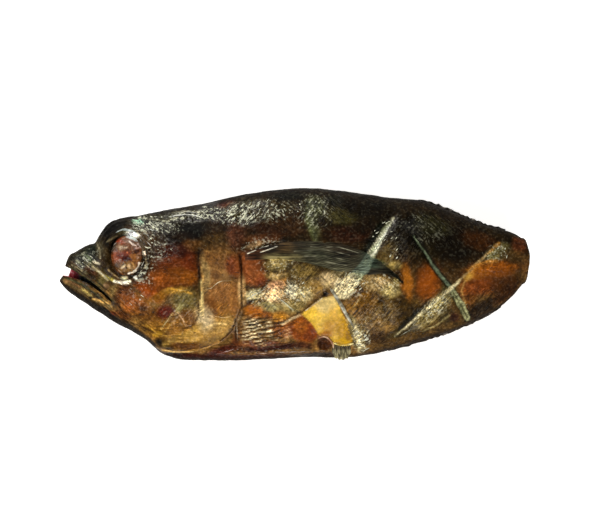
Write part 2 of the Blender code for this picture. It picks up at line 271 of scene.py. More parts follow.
def ring_points(x):
    """One ring round the body at x, its points evenly spread along each flank."""
    back, belly = float(back_at(x)), float(belly_at(x))
    turn = np.linspace(0, math.pi, SECTION_SAMPLES)
    ring = []
    for side, steps in ((1, UPPER_STEPS), (-1, LOWER_STEPS)):
        y = (back + belly) / 2 + (back - belly) / 2 * np.cos(turn)
        z = flank_height(x, y, side)
        run = np.concatenate(([0], np.cumsum(np.hypot(np.diff(y), np.diff(z)))))
        marks = np.linspace(0, run[-1], steps + 1)[:-1]
        even_y, even_z = np.interp(marks, run, y), np.interp(marks, run, z)
        if side < 0:
            marks = np.linspace(0, run[-1], steps + 1)[1:]
            even_y, even_z = np.interp(marks, run, y)[::-1], np.interp(marks, run, z)[::-1]
        ring.append(np.stack((np.full(steps, x), even_y, even_z), axis=1))
    return np.concatenate(ring)


def capped_rings(rings, bulge):
    """The rings with shrinking ones added at both ends, so that each end closes in a low dome."""
    closed = []
    for end, outward in ((rings[0], -1), (rings[-1], 1)):
        centre = end.mean(axis=0)
        shrunk = []
        for step in range(1, CAP_RINGS + 1):
            size = 1 - step / (CAP_RINGS + 0.5)
            point = centre + (end - centre) * size
            point[:, 0] += outward * bulge * (1 - size**2)
            shrunk.append(point)
        closed.append(shrunk)
    return closed[0][::-1] + list(rings) + closed[1]


def tube_faces(rings, steps):
    """Faces of a tube of closed rings, wound to face outwards along +X, with a cap at each end."""
    ring, step = np.meshgrid(np.arange(rings - 1), np.arange(steps), indexing="ij")
    near, far = ring * steps, (ring + 1) * steps
    following = (step + 1) % steps
    quads = np.stack((near + step, near + following, far + following, far + step), axis=-1)
    faces = quads.reshape(-1, 4).tolist()
    faces.append(list(range(steps))[::-1])
    faces.append(list(range((rings - 1) * steps, rings * steps)))
    return faces


def mesh_object(name, points, faces, *materials):
    """An object at the origin with its faces pointing out, from points in millimetres."""
    mesh = bpy.data.meshes.new(name)
    mesh.from_pydata((np.asarray(points) * MM).tolist(), [], faces)
    work = bmesh.new()
    work.from_mesh(mesh)
    bmesh.ops.recalc_face_normals(work, faces=work.faces)
    work.to_mesh(mesh)
    work.free()
    mesh.shade_smooth()
    for material in materials:
        mesh.materials.append(material)
    item = bpy.data.objects.new(name, mesh)
    bpy.context.scene.collection.objects.link(item)
    return item


def linear(hex_colour):
    """The linear RGB of an sRGB hex colour."""
    channels = [int(hex_colour[i : i + 2], 16) / 255 for i in (1, 3, 5)]
    return np.array([c / 12.92 if c <= 0.04045 else ((c + 0.055) / 1.055) ** 2.4 for c in channels])


def new_material(name):
    """An empty node material, and its tree."""
    material = bpy.data.materials.new(name)
    material.use_nodes = True
    material.node_tree.nodes.clear()
    return material, material.node_tree


def add(tree, kind, inputs=None, **settings):
    """A node with its settings, and its inputs given as values or linked from other sockets."""
    node = tree.nodes.new(kind)
    for key, value in settings.items():
        setattr(node, key, value)
    for key, value in (inputs or {}).items():
        if isinstance(value, bpy.types.NodeSocket):
            tree.links.new(value, node.inputs[key])
        else:
            node.inputs[key].default_value = value
    return node


def coordinates(item):
    """The mesh's points in millimetres, as an array."""
    flat = np.empty(len(item.data.vertices) * 3)
    item.data.vertices.foreach_get("co", flat)
    return flat.reshape(-1, 3) / MM


def put_coordinates(item, points):
    """Moves the mesh's points to these places, given in millimetres."""
    item.data.vertices.foreach_set("co", (points * MM).ravel())
    item.data.update()


def point_normals(item):
    """The outward direction at each point of the mesh."""
    flat = np.empty(len(item.data.vertices) * 3)
    item.data.vertex_normals.foreach_get("vector", flat)
    return flat.reshape(-1, 3)


def put_paint(item, name, values):
    """Stores a colour (n, 3) or a number (n) for each point, for the material to read."""
    if values.ndim == 2:
        layer = item.data.attributes.new(name, "FLOAT_COLOR", "POINT")
        opaque = np.column_stack((np.clip(values, 0, 1), np.ones(len(values))))
        layer.data.foreach_set("color", opaque.ravel())
    else:
        layer = item.data.attributes.new(name, "FLOAT", "POINT")
        layer.data.foreach_set("value", np.clip(values, 0, 1))


def baked_copy(item):
    """The object with its modifiers made into a plain mesh."""
    graph = bpy.context.evaluated_depsgraph_get()
    mesh = bpy.data.meshes.new_from_object(item.evaluated_get(graph))
    item.modifiers.clear()
    item.data = mesh
    return item


# Smoked fish skin: a thin oily leather over flesh. The paint layer holds the smoke's browns and some
# painted highlights, glints and shadows; streaks follow the way the skin shrank, and dried scales show
# as silver specks with painted glints on them.
PER_MM = 1 / MM  # texture scales count repeats in a metre
skin, tree = new_material("smoked_fish_skin")
place = add(tree, "ShaderNodeTexCoord").outputs["Object"]
paint = add(tree, "ShaderNodeAttribute", attribute_name="paint").outputs["Color"]
silver, scaly, calm, wet = [
    add(tree, "ShaderNodeAttribute", attribute_name=name).outputs["Fac"]
    for name in ("silver", "scaly", "calm", "wet")
]
grain = add(tree, "ShaderNodeAttribute", attribute_name="grain").outputs["Color"]
grain_of = add(tree, "ShaderNodeSeparateColor", {"Color": grain})
mottle = add(tree, "ShaderNodeTexNoise", {
    "Vector": place, "Scale": PER_MM / 3.0, "Detail": 4.0, "Roughness": 0.6})
grit = add(tree, "ShaderNodeTexNoise", {
    "Vector": place, "Scale": PER_MM / 1.2, "Detail": 2.0, "Roughness": 0.5})
pits = add(tree, "ShaderNodeTexNoise", {
    "Vector": place, "Scale": PER_MM / 0.9, "Detail": 1.0, "Distortion": 0.6})

# The streaks run three ways, each as strong at a place as the grain layer says.
streaks = []
for channel, degrees, long, thin in (("Red", 4, 9.0, 0.9), ("Green", 50, 5.0, 0.8), ("Blue", -40, 6.0, 0.8)):
    turned = add(tree, "ShaderNodeVectorRotate", {
        "Vector": place, "Axis": (0, 0, 1), "Angle": math.radians(-degrees)}, rotation_type="AXIS_ANGLE")
    drawn = add(tree, "ShaderNodeVectorMath", {
        0: turned.outputs[0], 1: (PER_MM / long, PER_MM / thin, PER_MM / 3.0)}, operation="MULTIPLY")
    fibres = add(tree, "ShaderNodeTexNoise", {"Vector": drawn.outputs[0], "Scale": 1.0, "Detail": 2.0})
    centred = add(tree, "ShaderNodeMath", {0: fibres.outputs["Fac"], 1: 0.5}, operation="SUBTRACT")
    streaks.append(add(tree, "ShaderNodeMath", {
        0: centred.outputs[0], 1: grain_of.outputs[channel]}, operation="MULTIPLY"))
total = streaks[0]
for streak in streaks[1:]:
    total = add(tree, "ShaderNodeMath", {0: total.outputs[0], 1: streak.outputs[0]}, operation="ADD")
streaky = add(tree, "ShaderNodeMapRange", {
    "Value": total.outputs[0], "From Min": -0.2, "From Max": 0.2, "To Min": 0.2, "To Max": 2.1}).outputs[0]

# Brightness factors from noise round one half: (noise, half its spread, darkest, lightest).
blotchy, gritty, pitted, even, oily = [
    add(tree, "ShaderNodeMapRange", {
        "Value": source.outputs["Fac"], "From Min": 0.5 - spread, "From Max": 0.5 + spread,
        "To Min": darkest, "To Max": lightest}).outputs[0]
    for source, spread, darkest, lightest in (
        (mottle, 0.18, 0.45, 1.6), (grit, 0.18, 0.6, 1.5), (pits, 0.10, 0.1, 1.85),
        (mottle, 0.18, 0.85, 1.12), (mottle, 0.18, 0.7, 1.3),
    )
]
pit_share = add(tree, "ShaderNodeMapRange", {
    "Value": silver, "From Min": 0.1, "From Max": 0.6, "To Min": 0.12, "To Max": 1.0})
pitting = add(tree, "ShaderNodeMix", {"Factor": pit_share.outputs[0], "A": 1.0, "B": pitted})
uneven = blotchy
for factor in (gritty, streaky, pitting.outputs["Result"]):
    uneven = add(tree, "ShaderNodeMath", {0: uneven, 1: factor}, operation="MULTIPLY").outputs[0]
level = add(tree, "ShaderNodeMix", {"Factor": calm, "A": uneven, "B": even})
tinted = add(tree, "ShaderNodeVectorMath", {0: paint, "Scale": level.outputs["Result"]}, operation="SCALE")
# Painted glints: where the silver attribute is strong, flecks of the streaks and grit turn near white.
fleck = add(tree, "ShaderNodeMath", {0: total.outputs[0], 1: grit.outputs["Fac"]}, operation="ADD")
glint = add(tree, "ShaderNodeMapRange", {
    "Value": fleck.outputs[0], "From Min": 0.56, "From Max": 0.64, "To Min": 0.0, "To Max": 1.0})
shining = add(tree, "ShaderNodeMath", {0: glint.outputs[0], 1: silver}, operation="MULTIPLY")
coloured = add(tree, "ShaderNodeMix", {
    "Factor": shining.outputs[0], "A": tinted.outputs[0], "B": (*linear("#eaedd2"), 1)}, data_type="RGBA")

# Relief that is too fine for the mesh, in the order that it is laid on: (height, depth in millimetres).
crumple = add(tree, "ShaderNodeTexNoise", {"Vector": place, "Scale": PER_MM / 2.0, "Detail": 1.0})
crumpled = add(tree, "ShaderNodeAttribute", attribute_name="crease_share").outputs["Fac"]
folded = add(tree, "ShaderNodeMapRange", {
    "Value": crumpled, "From Min": 0.0, "From Max": 0.7, "To Min": 0.25, "To Max": 1.0})
crumples = add(tree, "ShaderNodeMath", {
    0: crumple.outputs["Fac"], 1: folded.outputs[0]}, operation="MULTIPLY")
scales = add(tree, "ShaderNodeTexVoronoi", {"Vector": place, "Scale": PER_MM / 1.4, "Randomness": 0.8})
scale_rims = add(tree, "ShaderNodeMath", {0: scales.outputs["Distance"], 1: scaly}, operation="MULTIPLY")
relief = {}
for height, depth in (
    (crumples.outputs[0], 1.0), (grit.outputs["Fac"], 0.06), (scale_rims.outputs[0], 0.16),
    (total.outputs[0], 0.5), (mottle.outputs["Fac"], 0.35),
):
    bumps = add(tree, "ShaderNodeBump", {"Height": height, "Distance": depth * MM, **relief})
    relief = {"Normal": bumps.outputs[0]}

oil = add(tree, "ShaderNodeMath", {0: wet, 1: oily}, operation="MULTIPLY")
dullness = add(tree, "ShaderNodeMapRange", {
    "Value": oil.outputs[0], "From Min": 0.0, "From Max": 1.0, "To Min": 0.58, "To Max": 0.12})
skin_shader = add(tree, "ShaderNodeBsdfPrincipled", {
    "Base Color": coloured.outputs["Result"], "Roughness": dullness.outputs[0], "IOR": 1.37,
    "Specular IOR Level": 0.36, **relief})
add(tree, "ShaderNodeOutputMaterial", {"Surface": skin_shader.outputs[0]})

# Sooty skin: the same skin where dry tar covers it, which mirrors next to nothing.
sooty = skin.copy()
sooty.name = "sooty_fish_skin"
sooty.node_tree.nodes[skin_shader.name].inputs["Specular IOR Level"].default_value = 0.10

LIPS_END, THROAT_START = -111.5, -107.5  # along X

# Lining of the mouth: wet pink tissue at the lips, darkened to near black towards the throat as painted
# shade.
lining, tree = new_material("mouth_lining")
place = add(tree, "ShaderNodeTexCoord").outputs["Object"]
apart = add(tree, "ShaderNodeSeparateXYZ", {"Vector": place})
deep = add(tree, "ShaderNodeMapRange", {
    "Value": apart.outputs["X"], "From Min": LIPS_END * MM, "From Max": THROAT_START * MM,
    "To Min": 0.0, "To Max": 1.0})
ramp = add(tree, "ShaderNodeMix", {
    "Factor": deep.outputs[0], "A": (*linear("#b04a50"), 1), "B": (*linear("#0f1f1e"), 1)}, data_type="RGBA")
folds = add(tree, "ShaderNodeTexNoise", {"Vector": place, "Scale": PER_MM / 1.2, "Detail": 3.0})
lumpy = add(tree, "ShaderNodeBump", {"Height": folds.outputs["Fac"], "Distance": 0.6 * MM, "Strength": 0.6})
lining_shader = add(tree, "ShaderNodeBsdfPrincipled", {
    "Base Color": ramp.outputs["Result"], "Roughness": 0.3, "IOR": 1.4, "Normal": lumpy.outputs[0]})
add(tree, "ShaderNodeOutputMaterial", {"Surface": lining_shader.outputs[0]})

fraction = np.arange(STATIONS + 1) / STATIONS
station_x = LENGTH * (fraction - END_CROWDING * np.sin(2 * math.pi * fraction) / (2 * math.pi) - 0.5)
rings = capped_rings([ring_points(x) for x in station_x], CAP_BULGE)
body_faces = tube_faces(len(rings), UPPER_STEPS + LOWER_STEPS)
body = mesh_object("fish_skin", np.concatenate(rings), body_faces, skin, lining, sooty)


def along_curve(path, count):
    """Evenly spaced points on a smooth curve through the path, and the way at each."""
    path = np.array(path, dtype=float)
    run = np.concatenate(([0], np.cumsum(np.hypot(*np.diff(path, axis=0).T))))
    marks = np.linspace(0, run[-1], count)
    spots = np.stack([smooth_curve(list(zip(run, axis)))(marks) for axis in path.T], axis=1)
    way = np.gradient(spots, axis=0)
    return spots, way / np.hypot(*way.T)[:, None]


# The gape: a curved slot from each flank that leaves the tongue's root standing between them.
GAPE_STEPS = 48
CLEAR = 30.0  # past the flanks
JAW_X = -110.0  # where the slots take the jaws' mid height
gape_x, gape_y, gape_heights = zip(*GAPE)
gape_spots, gape_way = along_curve(list(zip(gape_x, gape_y)), GAPE_STEPS)
gape_across = np.stack((-gape_way[:, 1], gape_way[:, 0]), axis=1)
gape_half = np.interp(gape_spots[:, 0], gape_x, gape_heights) / 2
tongue = np.interp(gape_spots[:, 0], *zip(*TONGUE_HALF))
jaw_height = float(mid_height_at(JAW_X))
lip_low = gape_spots - gape_across * gape_half[:, None]
lip_high = gape_spots + gape_across * gape_half[:, None]
for side in (1, -1):
    near, far = jaw_height + side * tongue, np.full(GAPE_STEPS, jaw_height + side * CLEAR)
    loops = [np.column_stack((edge, level)) for edge, level in (
        (lip_low, near), (lip_high, near), (lip_high, far), (lip_low, far))]
    slot = np.stack(loops, axis=1).reshape(-1, 3)
    cutter = mesh_object("gape_cutter", slot, tube_faces(GAPE_STEPS, len(loops)), lining)
    gape = body.modifiers.new("gape", "BOOLEAN")
    gape.operation = "DIFFERENCE"
    gape.object = cutter
    gape.material_mode = "TRANSFER"
    body = baked_copy(body)
    bpy.data.objects.remove(cutter, do_unlink=True)

# The floor of the mouth: a wet membrane slung between the jaws, a few millimetres down the gape.
MEMBRANE_START = 11  # of the gape's steps
MEMBRANE_COLUMNS = 17
MEMBRANE_THICKNESS = 1.2
MEMBRANE_ROOT = 0.7  # how far its edges run into the jaws
MEMBRANE_LIFT = 1.2  # of its edges over the jaws' mid height
MEMBRANE_SAG = 1.2
MEMBRANE_RIPPLE = 0.25
loops = []
slung = slice(MEMBRANE_START, None)
for spot, aside, half in zip(gape_spots[slung], gape_across[slung], gape_half[slung]):
    over = np.linspace(-1, 1, MEMBRANE_COLUMNS) * (half + MEMBRANE_ROOT)
    sag = MEMBRANE_SAG * (1 - (over / over[-1]) ** 2) + MEMBRANE_RIPPLE * np.sin(spot[0] * 1.6 + over)
    top = np.stack((spot[0] + aside[0] * over, spot[1] + aside[1] * over,
                    mid_height_at(spot[0]) + MEMBRANE_LIFT - sag), axis=1)
    loops.append(np.concatenate((top, (top - (0, 0, MEMBRANE_THICKNESS))[::-1])))
membrane_faces = tube_faces(len(loops), 2 * MEMBRANE_COLUMNS)
membrane = mesh_object("mouth_floor", np.concatenate(loops), membrane_faces, lining)
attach(membrane, "root")

points = coordinates(body)
x, y = points[:, 0], points[:, 1]
mid = mid_height_at(x)
upper = ease(-1.5, 1.5, points[:, 2] - mid)  # 1 on the shown flank, 0 on the hidden one
back, belly = back_at(x), belly_at(x)
across = np.clip((2 * y - back - belly) / (back - belly), -1, 1)

# Wrinkles and folds finer than the frame's, pushed along the skin's own normals.
RESTING = 0.05  # skin below this height is pressed flat on the surface that it lies on
SOCKET_GROOVE = 1.5  # depth of the dark gap round the eyeball
SOCKET_MEAN = 11.5  # half width, to turn shares of the socket into millimetres
EYE_FOLD_SPACING = 1.9
EYE_FOLD_HEIGHT = 0.28
FAN_CENTRE = (-16, -27.5)  # where the belly's skin drew up in rows behind the gill cover
FAN_HALF = (14.5, 8)
ROW_SPACING = 1.8
ROW_HEIGHT = 0.36
fan = np.hypot((x - FAN_CENTRE[0]) / FAN_HALF[0], (y - FAN_CENTRE[1]) / FAN_HALF[1])
wrinkled = upper * ease(0.35, 1.0, 1.6 - fan)
wave = y - 0.22 * x + 1.2 * ripple(points, 6.0, 11) + 0.5 * ripple(points, 2.5, 12)
rows = np.sin(2 * math.pi * wave / ROW_SPACING)
fine_relief = 0.30 * cloud(points, 5.0, 21) + 0.12 * cloud(points, 1.6, 31, 2)
fine_relief = fine_relief + ROW_HEIGHT * rows * wrinkled
ring = np.hypot((x - EYE_CENTRE[0]) / SOCKET_HALF[0], (y - EYE_CENTRE[1]) / SOCKET_HALF[1])
folds = np.sin(2 * math.pi * (ring * SOCKET_MEAN + 1.2 * cloud(points, 5.0, 23, 2)) / EYE_FOLD_SPACING)
round_eye = ease(0.86, 1.0, ring) * ease(1.75, 1.35, ring) * ease(-100, -92, x)
fine_relief = fine_relief + EYE_FOLD_HEIGHT * folds * round_eye
fine_relief = fine_relief - SOCKET_GROOVE * bump(ring - 0.80, 0.09)
opercle = ease(0, 3, ahead_of_gill_edge(x, y)) * ease(-48, -44, x) * ease(1.0, 0.8, np.abs(across))
fine_relief = fine_relief + 0.22 * cloud(points * (0.4, 1, 1), 3.0, 41) * opercle
lift = np.where(points[:, 2] < RESTING, 0, fine_relief)
points = points + point_normals(body) * lift[:, None]
points[:, 2] = np.maximum(points[:, 2], 0)
put_coordinates(body, points)

# Smoke, skin and flesh tones, with painted highlights, glints and shadows among them where noted. A spot
# is (x, y, half length, half width, turn in degrees, colour, strength), and a streak is (path, half
# width, softness, colour, strength), all in millimetres.
SMOKE_DEPTH = (0.36, 0.39, 0.59)  # smoke browns and darkens dark places more than pale ones
SMOKE_GLAZE = (1.58, 1.49, 1.47)
warp_x = 1.5 * cloud(points, 9.0, 51) + 0.5 * cloud(points, 2.4, 61, 3)
warp_y = 1.5 * cloud(points, 9.0, 71) + 0.5 * cloud(points, 2.4, 81, 3)
bent_x, bent_y = x + warp_x, y + warp_y
BASE_TONE = "#4a3722"
tone = np.tile(linear(BASE_TONE), (len(points), 1))


def blended(tones, mask, colour):
    """The tones with the colour laid over them where the mask is 1."""
    return tones + mask[:, None] * (linear(colour) - tones)


def lay(mask, colour, strength=1.0):
    """Blends the colour over the skin's tone where the mask is 1."""
    global tone
    tone = blended(tone, mask * strength, colour)


def oval(off_x, off_y, half_x, half_y, turn):
    """How far out an offset from the middle of a turned oval lies: 1 is on its rim."""
    angle = math.radians(turn)
    run = (off_x * math.cos(angle) + off_y * math.sin(angle)) / half_x
    rise = (off_y * math.cos(angle) - off_x * math.sin(angle)) / half_y
    return np.hypot(run, rise)


def spot_mask(centre_x, centre_y, half_x, half_y, turn, soft=0.5):
    """1 inside a turned oval with an uneven rim, 0 outside it."""
    return ease(1 + soft, 1 - soft, oval(bent_x - centre_x, bent_y - centre_y, half_x, half_y, turn))


def strongest(spots, least, soft=0.5):
    """The strongest of the spots, (..., strength), at each point, and the least value elsewhere."""
    field = np.full(len(points), least)
    for *shape, strength in spots:
        field = np.maximum(field, spot_mask(*shape, soft=soft) * strength)
    return field


def streak_mask(path, half_width, soft, wander=0.25):
    """1 along a line of points, 0 beyond its half width."""
    distance = along_path(x + wander * warp_x, y + wander * warp_y, path)[0]
    return ease(half_width + soft, max(half_width - soft, 0), distance)


lay(ease(-0.1, 0.55, across + 0.1 * warp_x), "#2b2218", 0.95)
lay(ease(-0.05, -0.45, across + 0.08 * warp_x) * ease(52, 28, x), "#86673c", 0.95)
lay(ease(-0.05, -0.45, across + 0.08 * warp_x) * ease(28, 52, x), "#5d4829", 0.95)

HEAD_SPOTS = (
    (-64, 27, 22, 5, 10, "#2e2c26", 0.85), (-60, 29.6, 18, 1.6, 6, "#3c3e36", 0.8),
    (-58, 22, 16, 4, 5, "#1e1712", 0.9), (-66, 23.5, 9, 4, -10, "#343330", 0.8),
    (-91, 23.2, 6.8, 3.6, 28, "#0a0405", 0.98), (-49, 21.5, 7.5, 4.6, 0, "#0a0404", 1),
    (-38, 22, 6, 5, 0, "#302115", 0.9), (-81.5, 23.7, 3, 1.5, 5, "#3a271a", 0.85),
    (-76.4, 24.6, 2.4, 1.2, -15, "#0a1410", 0.9), (-77.6, 26.6, 2.6, 1.3, -8, "#93bfb8", 0.8),
    (-85.2, 21.3, 2.4, 1.9, 25, "#4e4c40", 0.85), (-75, 17.6, 1.2, 2.4, 25, "#1f1d14", 0.85),
    (-92.6, 14.8, 1.2, 4.2, -12, "#14110b", 0.9), (-104, -9, 13, 4.4, -38, "#463723", 0.9),
    (-105, 9, 9, 4.5, 32, "#232621", 0.9), (-111, 3.5, 4, 3, 20, "#4e3d37", 0.8),
    # Painted glints on the snout: the grey-green spots at (-102.8, 7.9) and (-107.9, 6.2).
    (-102.4, 11.6, 4.4, 1.8, 28, "#13241b", 0.85), (-102.8, 7.9, 2.4, 0.9, -35, "#5f7064", 0.85),
    (-107.9, 6.2, 1.4, 0.9, -30, "#6d746a", 0.85), (-98.2, 6, 1.9, 0.8, -25, "#ccc8b8", 0.85),
    (-106.2, 10.4, 1.4, 0.6, 30, "#8a908a", 0.8), (-96.6, 13, 2.6, 4.4, 10, "#46423b", 0.8),
    (-102, 4.3, 3.6, 1.6, -25, "#77745f", 0.8), (-101.6, 1.8, 3.2, 1.4, -35, "#4f2a1a", 0.85),
    (-99.9, 3.2, 1.1, 0.8, 0, "#a89f87", 0.8), (-92.7, 9, 1.6, 5, 8, "#4c4030", 0.85),
    (-92.2, 3.5, 3.4, 3, -50, "#3a2d18", 0.85), (-95, -3.4, 3, 3.4, -35, "#5d573a", 0.85),
    (-92.8, -5.4, 1.7, 1.4, 0, "#7b6355", 0.8), (-88.4, -8, 2.6, 3, 0, "#80714f", 0.85),
    (-88.6, -12.4, 2.6, 3.4, 0, "#2b1e11", 0.85), (-75, 15, 6, 8, 0, "#5f5045", 0.8),
    (-68, 13, 5, 8, 0, "#4e3c32", 0.8), (-72, 3, 4, 7, 0, "#4c3525", 0.8),
    (-57, 17.4, 9, 3.6, 0, "#261811", 0.9), (-49, 14.4, 4.6, 2.6, 0, "#6b4826", 0.85),
    (-58, 10, 9, 4.5, 0, "#4e1d0e", 0.95), (-59, 4, 9.5, 5, 0, "#6e3412", 0.95),
    (-57, -1, 11, 4.6, 0, "#7c4612", 0.95), (-50.6, 6, 3.6, 5, 0, "#70300f", 0.8),
    (-52, -2, 4, 3, 0, "#8c5114", 0.85), (-66, -3, 6, 4, -25, "#8a4a14", 0.95),
    (-72, -8, 7, 3.4, -35, "#9a4c12", 0.95), (-66, -10, 8, 2, 20, "#8d6018", 0.85),
    (-58, -7.4, 6, 1.5, 4, "#9c7934", 0.85), (-84, -9, 4.6, 4, 0, "#6d3f24", 0.9),
    (-80, -14.6, 6.6, 4.4, -10, "#9a5722", 0.95), (-72, -20, 9, 4, -20, "#744a1c", 0.9),
    (-85, -20, 5, 2.6, -25, "#6c3c16", 0.9), (-54, -13.4, 6.6, 5.6, 0, "#746a40", 0.92),
    (-52, -21.5, 5.4, 4.2, 0, "#764d1e", 0.9), (-58, -27, 14, 4.6, -12, "#93682a", 0.95),
    (-70, -29, 8, 4, -25, "#7c581b", 0.9), (-68.4, -30, 3, 1.2, 0, "#b08a2e", 0.85),
    (-64.5, -35.4, 5.6, 2.2, -25, "#0b0603", 0.92), (-54, -35.2, 9, 2.6, -4, "#6a4010", 0.9),
    (-49, -30, 7, 3, 12, "#b8944c", 0.9), (-56, -41, 15, 1.9, -3, "#2a0f06", 0.95),
    (-63.8, -18.2, 4.4, 3.4, 15, "#661808", 0.95), (-56.5, -16.5, 1.6, 3.2, -20, "#8f8d66", 0.7),
    # Painted glints round the eye: the white spots at (-78.4, -1.4), (-84, -1.1) and (-74.4, 10.5).
    (-75.6, -16, 2, 1.2, 0, "#3a200e", 0.8), (-78.4, -1.4, 1.1, 0.6, -20, "#ffffff", 0.9),
    (-84, -1.1, 1, 0.8, 0, "#f4e8c8", 0.95), (-74.4, 10.5, 0.7, 1.1, -15, "#f4e8d8", 0.95),
    (-94.4, -17.6, 3.8, 1.4, -32, "#0d0302", 0.92), (-90.2, -18.8, 1.9, 1.1, -30, "#7a2c07", 0.85),
    (20, 20, 12, 3.4, 0, "#3d2d1e", 0.5), (30, 27, 9, 3, 0, "#34301f", 0.5),
    (-38.4, -0.4, 2.2, 1.6, 0, "#6c432c", 0.7), (-34.4, 3, 1.2, 2.2, 0, "#6a4026", 0.6),
    (-41.4, 3, 2.6, 3, 0, "#867a50", 0.6), (-36.2, 8.4, 4.6, 1.5, 0, "#8b7450", 0.5),
    (-33.4, 1.6, 0.8, 1.8, 10, "#cbb58e", 0.75), (-31.6, -9, 1.4, 4, 0, "#a5805a", 0.6),
    (-40.6, -12, 2.6, 2, 20, "#7a4a2e", 0.6), (-34.6, -15, 2.4, 2.6, 0, "#9a7046", 0.6),
    # Painted highlight on the lid over the eye: a blue-grey patch with a white core.
    (-79.8, 20.1, 4, 1.9, -12, "#8d9a99", 0.95), (-79.2, 19.8, 3.3, 1.5, -12, "#ffffff", 1),
)
GILL_SPOTS = (
    (-36, 14, 9, 5.5, 0, "#4d3a22", 0.9), (-36, 6, 9.5, 7, 0, "#7c5836", 0.95),
    (-38, -2.5, 8, 5, 0, "#917049", 0.9), (-35, -10, 8.5, 7, 0, "#91663f", 0.95),
    (-36, -18, 8, 4, 0, "#96682f", 0.9), (-37, -27, 9.5, 4.6, 38, "#987a46", 0.95),
    (-30, 4, 3.4, 5, 0, "#75381f", 0.85), (-39, 0, 2.4, 2.6, 0, "#64402c", 0.6),
    (-41, -16, 3, 4.6, 0, "#80512a", 0.85), (-30, -14, 2.4, 8, 0, "#94653a", 0.8),
    (-43.6, -1, 1.9, 9, 3, "#907c58", 0.8), (-44, -21.5, 4.2, 6, 12, "#b7a98d", 0.9),
    (-34.5, -26, 3, 5, -35, "#a68953", 0.8), (-36, -37.6, 10, 2.2, 20, "#57190c", 0.95),
    (-28.4, -31, 1.8, 5, -25, "#6e3c24", 0.9), (-30, -41.6, 34, 2.4, 0, "#4a1208", 0.95),
    (12, -40.4, 12, 2, 0, "#2e150c", 0.9),
)
SHOULDER_SPOTS = (
    (-22, 4, 6.4, 6.5, 0, "#8c4f2e", 0.95), (-20, -1.5, 6.4, 3.2, 0, "#955835", 0.9),
    (-16.6, -3, 2.6, 2.2, 0, "#7a3c24", 0.8), (-5, -4, 2.4, 2.4, 0, "#bd8b48", 0.8),
    (-28, 19, 4.5, 7, 0, "#583631", 0.9), (-15, 18, 9, 2.2, 8, "#633d27", 0.9),
    (-19, 14.6, 4, 1.2, 20, "#a1866c", 0.8), (-12, 12.6, 9, 1.6, 14, "#1c140d", 0.85),
    (-33, 34.6, 5, 1.6, 10, "#571d14", 0.8), (-9, 22.6, 14, 3.4, 0, "#3a2117", 0.85),
    (-8, 5.2, 6, 3, 0, "#958860", 0.92), (-8, -0.5, 5, 1.8, 0, "#b0986a", 0.8),
    (-9, -5.4, 4.2, 2.4, 10, "#b78f72", 0.9), (-10.5, -10, 4.6, 3, 0, "#d6bd94", 0.9),
    (-1, -7.5, 3.6, 4, 10, "#b7b5a2", 0.92), (5.6, -9.5, 4, 4, -10, "#aa9f78", 0.9),
    (-13, -15.2, 8, 2.4, 0, "#86825e", 0.9), (-19.6, -9.8, 4.6, 2.2, 26, "#cbc49c", 0.9),
    (-22.6, -13.8, 3.4, 1, 34, "#33251a", 0.85), (0, -15, 6, 3, 0, "#92855a", 0.9),
    (-20, -17.8, 5, 3.2, 0, "#ac6308", 0.97), (-7, -20.5, 3.6, 2.6, 0, "#bc8428", 0.9),
    (-13.4, -19.4, 3, 2, 0, "#955622", 0.8), (-25.6, -8, 1.6, 7, 0, "#cfae7e", 0.9),
    (-18, -27.5, 11, 5.5, 0, "#75593a", 0.85), (-5, -27, 6, 4.4, 0, "#98592a", 0.85),
    (-12, -36.4, 17, 1.9, 1, "#400902", 0.97), (-18, -34, 10, 1.6, 0, "#6f3520", 0.8),
    (4, -35, 6, 2, 0, "#4a2310", 0.9),
)
